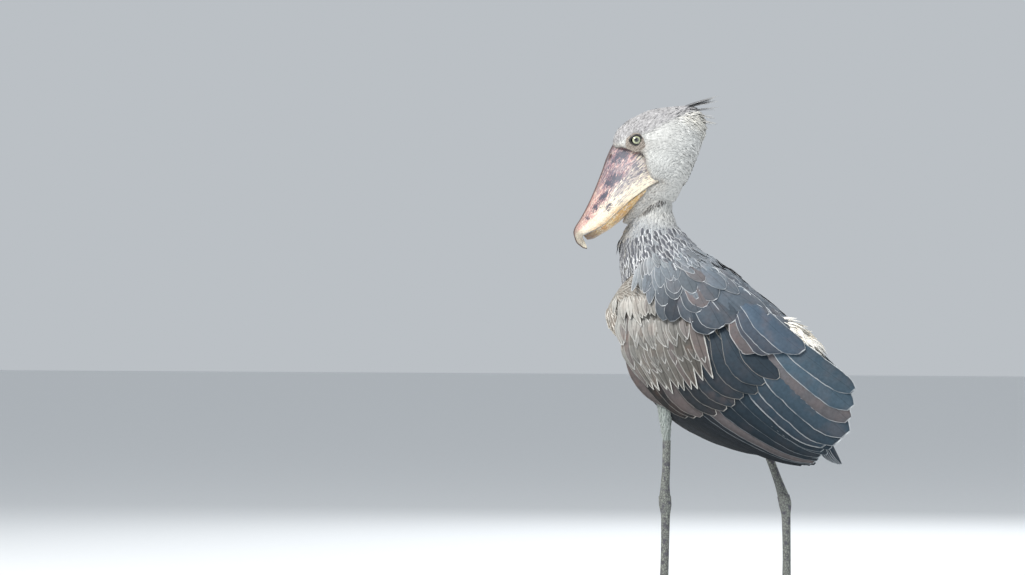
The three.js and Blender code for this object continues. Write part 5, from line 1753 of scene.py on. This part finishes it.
# %% Scale and claw materials
# Small grey scales between dark seams, raised enough that the light picks out each one.
scale_material, tree, shader = new_material("leg scales, dry and leathery", 0.62, specular=0.35)
place = object_place(tree)
stretched = node(tree, "ShaderNodeMapping", {"Vector": place, "Scale": (1.0, 1.0, 0.75)}).outputs["Vector"]
voronoi = {"Vector": stretched, "Scale": 230.0}
cells = node(tree, "ShaderNodeTexVoronoi", voronoi, feature="DISTANCE_TO_EDGE").outputs["Distance"]
cell_tone = node(tree, "ShaderNodeTexVoronoi", voronoi).outputs["Color"]
tone = blend(tree, cell_tone, "#8E9289", "#777A76")
tone = blend(tree, ranged(tree, noise(tree, place, 85.0, 4.0), 0.52, 0.64), tone, "#57565F")
tone = blend(tree, ranged(tree, cells, 0.02, 0.14, 1.0, 0.0), tone, "#4B4A4C")
dress(tree, shader, tone, (cells, 0.8, 0.003))

# Dark horn with a dull shine.
claw_material = noisy_material(
    "claw horn, dark and worn", 0.4, 400.0, 4.0, ("#2A2725", "#5B544D"), (0.4, 0.0006), coat=0.1
)


# %% Legs
toes = [
    {"turn": 0, "length": 158, "start": 8.8, "end": 6.2, "word": "middle"},
    {"turn": 27, "length": 122, "start": 8.2, "end": 5.8, "word": "inner"},
    {"turn": -26, "length": 134, "start": 8.2, "end": 5.8, "word": "outer"},
    {"turn": 172, "length": 88, "start": 8.2, "end": 5.6, "word": "hind"},
]
claw_shape = profile([
    [-0.1, 1.3, 1], [0.15, 1.5, 1], [0.45, 1.35, 0.74], [0.75, 0.85, 0.44], [1, 0.22, 0.12],
])
claw_length = 24
# For each foot its side, the place of its ball and the turn of its toes in degrees.
feet = {"left": (1, [58.0, -121.0, 0.0], 4), "right": (-1, [-58.0, 117.0, 0.0], -4)}
upwards = np.array([0.0, 0.0, 1.0])


def toe_way(toe, side, foot_turn):
    """The toe's level direction: forwards turned by its own angle."""
    angle = np.radians(toe["turn"] * side + foot_turn)
    return np.array([-np.sin(angle), -np.cos(angle), 0.0])


def level_tube(centre, way, distance, height, radius, ring):
    """Rings square to a level direction: centre plus radius times cosine across and sine up."""
    turn = even_turns(ring)[None, :, None]
    across = np.cross(upwards, way)
    spine = centre + distance[:, None] * way + upwards * height[:, None]
    return spine[:, None] + radius[:, None, None] * (np.cos(turn) * across + np.sin(turn) * upwards)


for side_name, (side, ball, foot_turn) in feet.items():
    ball = np.array(ball)
    for part, last in (("tibia", 3), ("tarsus", 5)):
        stations = leg_stations[side_name][part]

        def shank(place, turn, extra, stations=stations):
            return limb_surface(stations, place, turn, extra)

        points, faces = closed_tube(surface_grid(shank, 0, last, 110, 40, 0.0))
        bone = add_piece(f"{part}_{side_name}_scales", points, faces, scale_material)
        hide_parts(f"{part}_{side_name}")
    share = np.linspace(0, 1, 60)
    parts = []
    for toe in toes:
        radius = mix(toe["start"], toe["end"], share) * (1 - 0.06 * np.cos(share * 6 * np.pi))
        way = toe_way(toe, side, foot_turn)
        parts.append(closed_tube(level_tube(ball, way, toe["length"] * share, radius * 0.86, radius, 24)))
    polar, turn = ringed(np.linspace(0.05, np.pi - 0.05, 20), 32)
    pad = stack(15 * np.sin(polar) * np.cos(turn), 17 * np.sin(polar) * np.sin(turn), 11.5 * np.cos(polar))
    parts.append(closed_tube(pad + ball + np.array([0, 0, 9.5])))
    points, faces = melt(parts, 1.5, 3)
    points[:, 2] = np.maximum(points[:, 2], 0.0)
    foot = add_piece(f"foot_{side_name}_scales", points, faces, scale_material)
    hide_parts(f"foot_{side_name}")
    for toe in toes:
        t = np.linspace(-0.1, 1, 24)
        height, thick = claw_shape(t)
        root = toe["end"] * 0.78
        way = toe_way(toe, side, foot_turn)
        distance = toe["length"] + claw_length * t
        points, faces = closed_tube(level_tube(ball, way, distance, root * height, root * thick, 16))
        points[:, 2] = np.maximum(points[:, 2], 0.2)
        claw = add_piece(f"claw_{side_name}_{toe['word']}_horn", points, faces, claw_material)
        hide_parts(f"claw_{side_name}_{toe['word']}")

# %% [markdown]
# ## Floor
#
# A plain pale floor, matt, with a very faint grain so that it doesn't look like paper.

# %% Floor
floor_mesh = bpy.data.meshes.new("floor")
reach = 30.0
corners = [(-reach, -reach, 0), (reach, -reach, 0), (reach, reach, 0), (-reach, reach, 0)]
floor_mesh.from_pydata(corners, [], [(0, 1, 2, 3)])
floor = bpy.data.objects.new("floor", floor_mesh)
bpy.context.collection.objects.link(floor)
floor_material = noisy_material(
    "pale studio floor, matt", 0.9, 40.0, 2.0, ("#E6E8E9", "#ECEDEE"), None, specular=0.1
)
floor_mesh.materials.append(floor_material)
